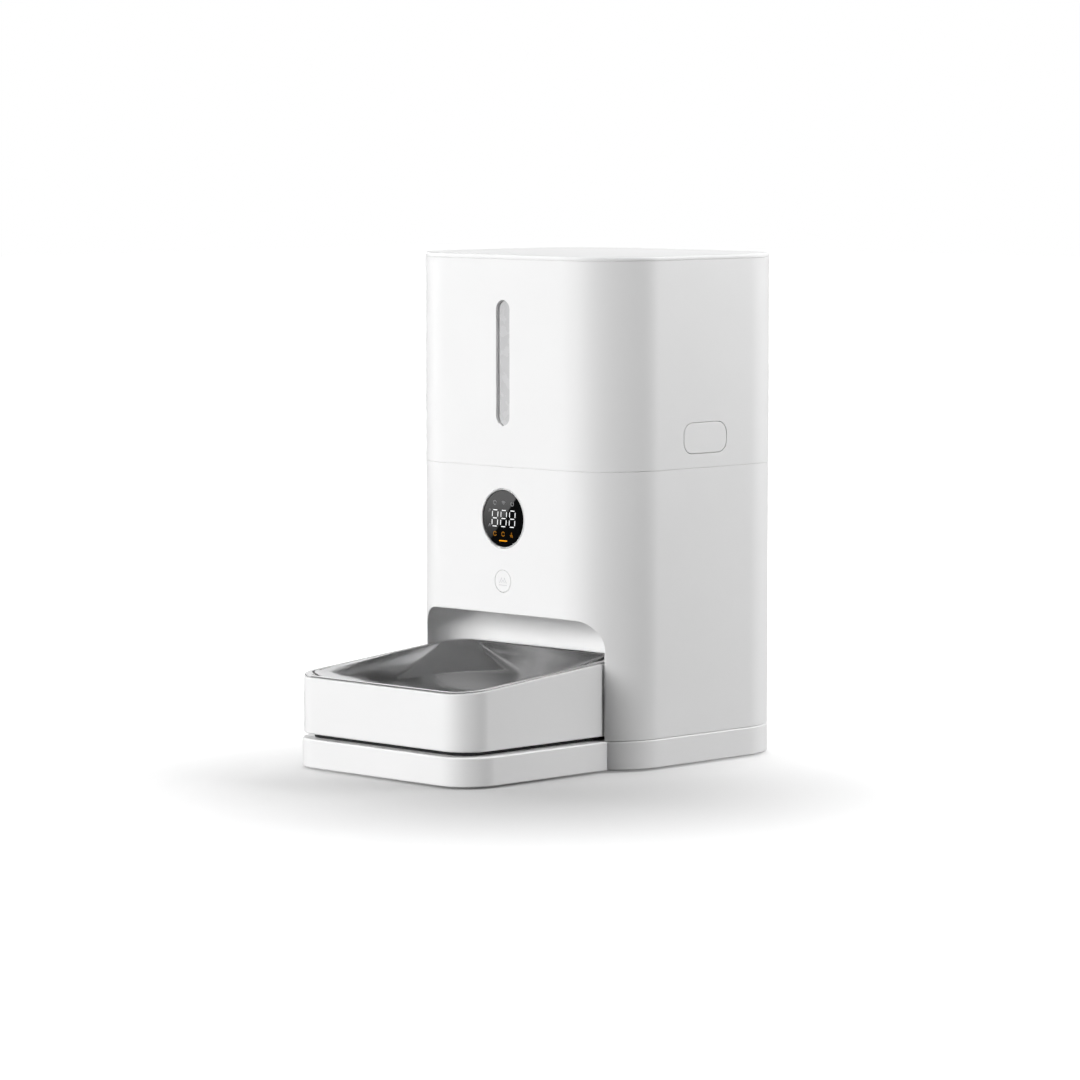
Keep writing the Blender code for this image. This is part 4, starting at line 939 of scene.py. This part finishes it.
def steel_outline(inset, depth):
    """Plan of the steel bowl: the rim's round corners open out and soften until the floor is nearly round."""
    half_x = HOLDER_HIGH.x - inset
    half_y = (HOLDER_HIGH.y - HOLDER_LOW.y) / 2 - inset
    middle = (HOLDER_HIGH.y + HOLDER_LOW.y) / 2
    depth = max(depth, 0)
    power = 2 + STEEL_SOFTENING * min(depth / STEEL_SOFTENING_DEPTH, 1)
    reach = BOWL_RADIUS - min(inset, STEEL_LIP) + STEEL_OPENING * (depth / STEEL_OPENING_DEPTH) ** 1.2
    reach *= 1 + STEEL_SOFT_REACH * (power - 2)
    reach = min(reach, half_x - 0.5 * MM, half_y - 0.5 * MM)
    points = []
    for side_x, side_y, flip in ((1, -1, False), (1, 1, True), (-1, 1, False), (-1, -1, True)):
        for step in range(STEEL_CORNER_STEPS + 1):
            angle = math.pi / 2 * step / STEEL_CORNER_STEPS
            if flip:
                angle = math.pi / 2 - angle
            x = half_x - reach + reach * math.sin(angle) ** (2 / power)
            y = half_y - reach + reach * math.cos(angle) ** (2 / power)
            points.append((side_x * x, middle + side_y * y))
    return points


def steel_ring(inset, depth):
    """A ring of the steel bowl; depth 0 follows the sloping rim and full depth lies flat on the floor."""
    share = min(depth / STEEL_DEPTH, 1) ** 2
    return [(x, y, rim_height(y) - depth - (rim_height(y) - STEEL_FLOOR - STEEL_DEPTH) * share)
            for x, y in steel_outline(inset, depth)]


def curve_through(points):
    """A smooth curve through (inset, depth) points."""
    ends = [points[0]] + points + [points[-1]]
    path = []
    for index in range(len(points) - 1):
        p0, p1, p2, p3 = [Vector(point) for point in ends[index:index + 4]]
        for step in range(CURVE_STEPS):
            t = step / CURVE_STEPS
            path.append(0.5 * (2 * p1 + (p2 - p0) * t + (2 * p0 - 5 * p1 + 4 * p2 - p3) * t ** 2
                               + (3 * p1 - p0 - 3 * p2 + p3) * t ** 3))
    path.append(Vector(points[-1]))
    return path


def shifted_path(path, distance):
    """A path moved sideways by one distance."""
    moved = []
    for index, point in enumerate(path):
        before = path[max(index - 1, 0)]
        after = path[min(index + 1, len(path) - 1)]
        along = (after - before).normalized()
        moved.append(point + Vector((-along.y, along.x)) * distance)
    return moved


def make_steel_bowl():
    """A thin pressing: its inside from floor to rim, the rolled rim, then its underside back to the floor."""
    path = curve_through([(inset * MM, depth * MM) for inset, depth in STEEL_PROFILE])
    lining = shifted_path(path, STEEL_THICKNESS)[LINING_START:]
    lining[-1].y = STEEL_DEPTH + STEEL_THICKNESS
    rings = [steel_ring(*point) for point in reversed(path)]
    rings += [steel_ring(inset * MM, depth * MM) for inset, depth in STEEL_RIM]
    rings += [steel_ring(*point) for point in lining]
    bowl = skin("steel_bowl_pressing", rings, sharp=60)
    install(bowl, "steel_bowl", ["steel_bowl"], MATERIALS["stainless"])


def make_feet():
    for number in range(1, 5):
        low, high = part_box(f"foot_{number}")
        centre = ((low.x + high.x) / 2, (low.y + high.y) / 2)
        radius = (high.x - low.x) / 2
        profile = [(radius, high.z), (radius, 0.7 * MM), (radius - 0.2 * MM, 0.25 * MM),
                   (radius - 0.7 * MM, 0), (radius - 2.2 * MM, 0), (radius - 2.6 * MM, 0.3 * MM),
                   (radius - 3 * MM, 0.3 * MM)]
        foot = turned(f"rubber_foot_{number}", profile, centre)
        install(foot, "base", [f"foot_{number}"], MATERIALS["foot_rubber"])


# Springs

def return_spring(node, body, way, wire, turns):
    """A coil of round wire along way, in the place of the spring's CAD node."""
    low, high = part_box(node)
    way = Vector(way)
    middle = (low + high) / 2
    length = abs((high - low).dot(way))
    radius = (high.z - low.z) / 2 - wire
    steps = int(turns * SPRING_STEPS)
    rings = []
    for step in range(steps + 1):
        outward = Quaternion(way, math.tau * step / SPRING_STEPS) @ Vector((0, 0, 1))
        centre = middle + way * (step / steps - 0.5) * (length - 2 * wire) + outward * radius
        rings.append([centre + outward * across + way * along
                      for across, along in circle(wire, count=WIRE_SIDES)])
    coil = skin(node + "_wire", rings)
    install(coil, body, [node], MATERIALS["plated_metal"])
    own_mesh(coil)


def make_return_springs():
    return_spring("feed_spring", "base", (0, 1, 0), 0.5 * MM, 3)
    for name, side in (("left", -1), ("right", 1)):
        return_spring(f"release_spring_{name}", "hopper",
                      (-side, 0, 0), 0.6 * MM, 2.5)


# Studio

def direction(azimuth, elevation):
    """Unit vector from the object towards a place round it; azimuth 0 is in front, 90 is to its right."""
    turn = math.radians(azimuth)
    rise = math.radians(elevation)
    return Vector((math.sin(turn) * math.cos(rise), -math.cos(turn) * math.cos(rise), math.sin(rise)))


def make_camera():
    data = bpy.data.cameras.new("camera")
    data.sensor_width = 36
    data.lens = CAMERA_LENS
    data.clip_end = 50
    camera = bpy.data.objects.new("camera", data)
    back = direction(CAMERA_AZIMUTH, CAMERA_PITCH)
    camera.location = AIM + back * CAMERA_DISTANCE
    camera.rotation_mode = "QUATERNION"
    camera.rotation_quaternion = (-back).to_track_quat("-Z", "Y")
    bpy.context.scene.collection.objects.link(camera)
    bpy.context.scene.camera = camera


def softbox(name, azimuth, elevation, distance, width, height, power, mirrored=False):
    """A rectangular area light that faces the object, and shows in glossy surfaces only if mirrored."""
    data = bpy.data.lights.new(name, "AREA")
    data.shape = "RECTANGLE"
    data.size = width
    data.size_y = height
    data.energy = power
    light = bpy.data.objects.new(name, data)
    light.visible_camera = False
    light.visible_glossy = mirrored
    towards = direction(azimuth, elevation)
    light.location = LIGHT_AIM + towards * distance
    light.rotation_mode = "QUATERNION"
    light.rotation_quaternion = (-towards).to_track_quat("-Z", "Y")
    bpy.context.scene.collection.objects.link(light)


def make_floor():
    """A pale floor with a painted shadow: it glows more with distance from the shadow's centre, until it is
    as white as the background.
    """
    half = FLOOR_HALF_SIZE
    floor = box("studio_floor", (-half, -half, -FLOOR_THICKNESS), (half, half, 0))
    surface = Surface("studio_floor_painted_shadow", (0.45, 0.45, 0.45), 0.9)
    surface.shade(surface.noise(3, 2), 0.995, 1.005)
    # Painted shadow: the glow rises with distance from the shadow's centre, so the floor is darker round the
    # object
    away = surface.node("ShaderNodeVectorMath", operation="DISTANCE")
    surface.link(surface.place, away.inputs[0])
    away.inputs[1].default_value = SHADOW_CENTRE
    glow = surface.node("ShaderNodeMapRange", interpolation_type="SMOOTHSTEP")
    glow.inputs["From Min"].default_value = SHADOW_START
    glow.inputs["From Max"].default_value = SHADOW_END
    surface.link(away.outputs["Value"], glow.inputs["Value"])
    surface.link(glow.outputs["Result"], surface.shader.inputs["Emission Strength"])
    surface.set("Emission Color", (1, 1, 1, 1))
    floor.data.materials.append(surface.material)
    floor.visible_diffuse = False
    floor.visible_glossy = False


def reflection_card(name, corners, low_glow, high_glow, bottom=0.0, top=1.0):
    """A card that only shows in polished surfaces; its glow changes evenly between two heights."""
    shape = bmesh.new()
    shape.faces.new([shape.verts.new(corner) for corner in corners])
    card = finish_mesh(name, shape)
    surface = Surface(name + "_paint", (0.01, 0.01, 0.01), 0.9)
    surface.shade(surface.noise(3, 2), 0.98, 1.02)
    height = surface.node("ShaderNodeSeparateXYZ")
    surface.link(surface.place, height.inputs[0])
    glow = surface.spread(height.outputs["Z"], low_glow, high_glow, bottom, top)
    surface.link(glow, surface.shader.inputs["Emission Strength"])
    surface.set("Emission Color", (1, 1, 1, 1))
    card.data.materials.append(surface.material)
    for rays in ("camera", "diffuse", "transmission", "volume_scatter", "shadow"):
        setattr(card, "visible_" + rays, False)


def upright_card(name, azimuth, distance, width, bottom, top, glow, lean=0):
    """An evenly bright card that faces the object, with its top moved sideways by lean."""
    towards = direction(azimuth, 0)
    sideways = Vector((-towards.y, towards.x, 0))
    places = [(-width / 2, bottom), (width / 2, bottom), (lean + width / 2, top), (lean - width / 2, top)]
    corners = [towards * distance + sideways * across + Vector((0, 0, height)) for across, height in places]
    reflection_card(name, corners, glow, glow)


def make_display_cards():
    """A leaning bright card that the display's one half mirrors, and a dark one for its other half."""
    camera = AIM + direction(CAMERA_AZIMUTH, CAMERA_PITCH) * CAMERA_DISTANCE

    def mirrored(x, z, distance):
        """Where the view of one point of the display cover goes on to."""
        point = Vector((x, FRONT, z))
        ray = (point - camera).normalized()
        ray.y = -ray.y
        return point + ray * distance

    low = mirrored(-15.5 * MM, DISPLAY_CENTRE - 17.5 * MM, CARD_DISTANCE)
    high = mirrored(6.6 * MM, DISPLAY_CENTRE + 8.5 * MM, CARD_DISTANCE)
    along = (high - low).normalized()
    sideways = along.cross(direction(-45, 0)).normalized() * CARD_WIDTH
    if sideways.x > 0:
        sideways = -sideways
    start = low - along * 10 * MM
    end = high + along * 30 * MM
    reflection_card("display_card", [start, end, end + sideways, start + sideways], 0.1, 0.85,
                    low.z, low.z + 36 * MM)
    back = direction(-45, 0) * 5 * MM
    start = start + back
    end = end + back
    reflection_card("dark_card", [start, end, end - sideways, start - sideways], 0.0, 0.0)


def make_steel_cards():
    """Cards that the steel bowl and the lid mirror."""
    upright_card("bowl_card", -45, 450 * MM, 22 * MM, 160 * MM, 345 * MM, 0.55, lean=-78 * MM)
    upright_card("lid_card", -135, 1500 * MM, 1000 * MM, 0, 900 * MM, 0.9)
    upright_card("rim_card", 135, 900 * MM, 1000 * MM, 330 * MM, 1900 * MM, 1.5)


def make_background():
    """White to the camera; to all else a dim surround, whose mirrored upper part is brighter."""
    world = bpy.data.worlds.new("studio")
    bpy.context.scene.world = world
    world.use_nodes = True
    nodes = world.node_tree.nodes
    links = world.node_tree.links
    rays = nodes.new("ShaderNodeLightPath")
    place = nodes.new("ShaderNodeSeparateXYZ")
    links.new(nodes.new("ShaderNodeTexCoord").outputs["Generated"], place.inputs[0])
    sky = nodes.new("ShaderNodeMapRange")
    sky.interpolation_type = "SMOOTHSTEP"
    for socket, value in (("From Min", 0.35), ("From Max", 0.95), ("To Min", 0.09), ("To Max", 0.3)):
        sky.inputs[socket].default_value = value
    links.new(place.outputs["Z"], sky.inputs["Value"])
    dim = nodes.new("ShaderNodeMapRange")
    links.new(sky.outputs["Result"], dim.inputs["To Min"])
    dim.inputs["To Max"].default_value = 0.05
    links.new(rays.outputs["Is Diffuse Ray"], dim.inputs["Value"])
    strength = nodes.new("ShaderNodeMapRange")
    links.new(dim.outputs["Result"], strength.inputs["To Min"])
    strength.inputs["To Max"].default_value = 1.0
    links.new(rays.outputs["Is Camera Ray"], strength.inputs["Value"])
    links.new(strength.outputs["Result"], nodes["Background"].inputs["Strength"])
    nodes["Background"].inputs["Color"].default_value = (1, 1, 1, 1)


def make_studio():
    make_floor()
    make_background()
    make_display_cards()
    make_steel_cards()
    softbox("key_light", -8, 12, 2.6, 0.8, 0.9, 63)
    softbox("left_fill", -75, 15, 2.6, 1.0, 0.9, 15, mirrored=True)
    softbox("side_light", 125, 18, 2.4, 0.9, 0.9, 35)
    softbox("rear_light", 150, 24, 2.4, 1.2, 1.0, 27, mirrored=True)
    softbox("back_light", -150, 28, 2.4, 1.3, 1.1, 18)
    softbox("left_light", -112, 18, 2.4, 0.9, 0.9, 11)
    softbox("top_light", 40, 84, 2.2, 1.6, 1.6, 14)
    bpy.context.scene.view_settings.view_transform = "Standard"


make_camera()
dress_cad_nodes()
make_base()
make_lower_housing()
make_hopper()
make_lid()
make_level_window()
make_display()
make_feed_button()
make_release_buttons()
make_return_springs()
make_bowl_holder()
make_steel_bowl()
make_feet()
make_studio()
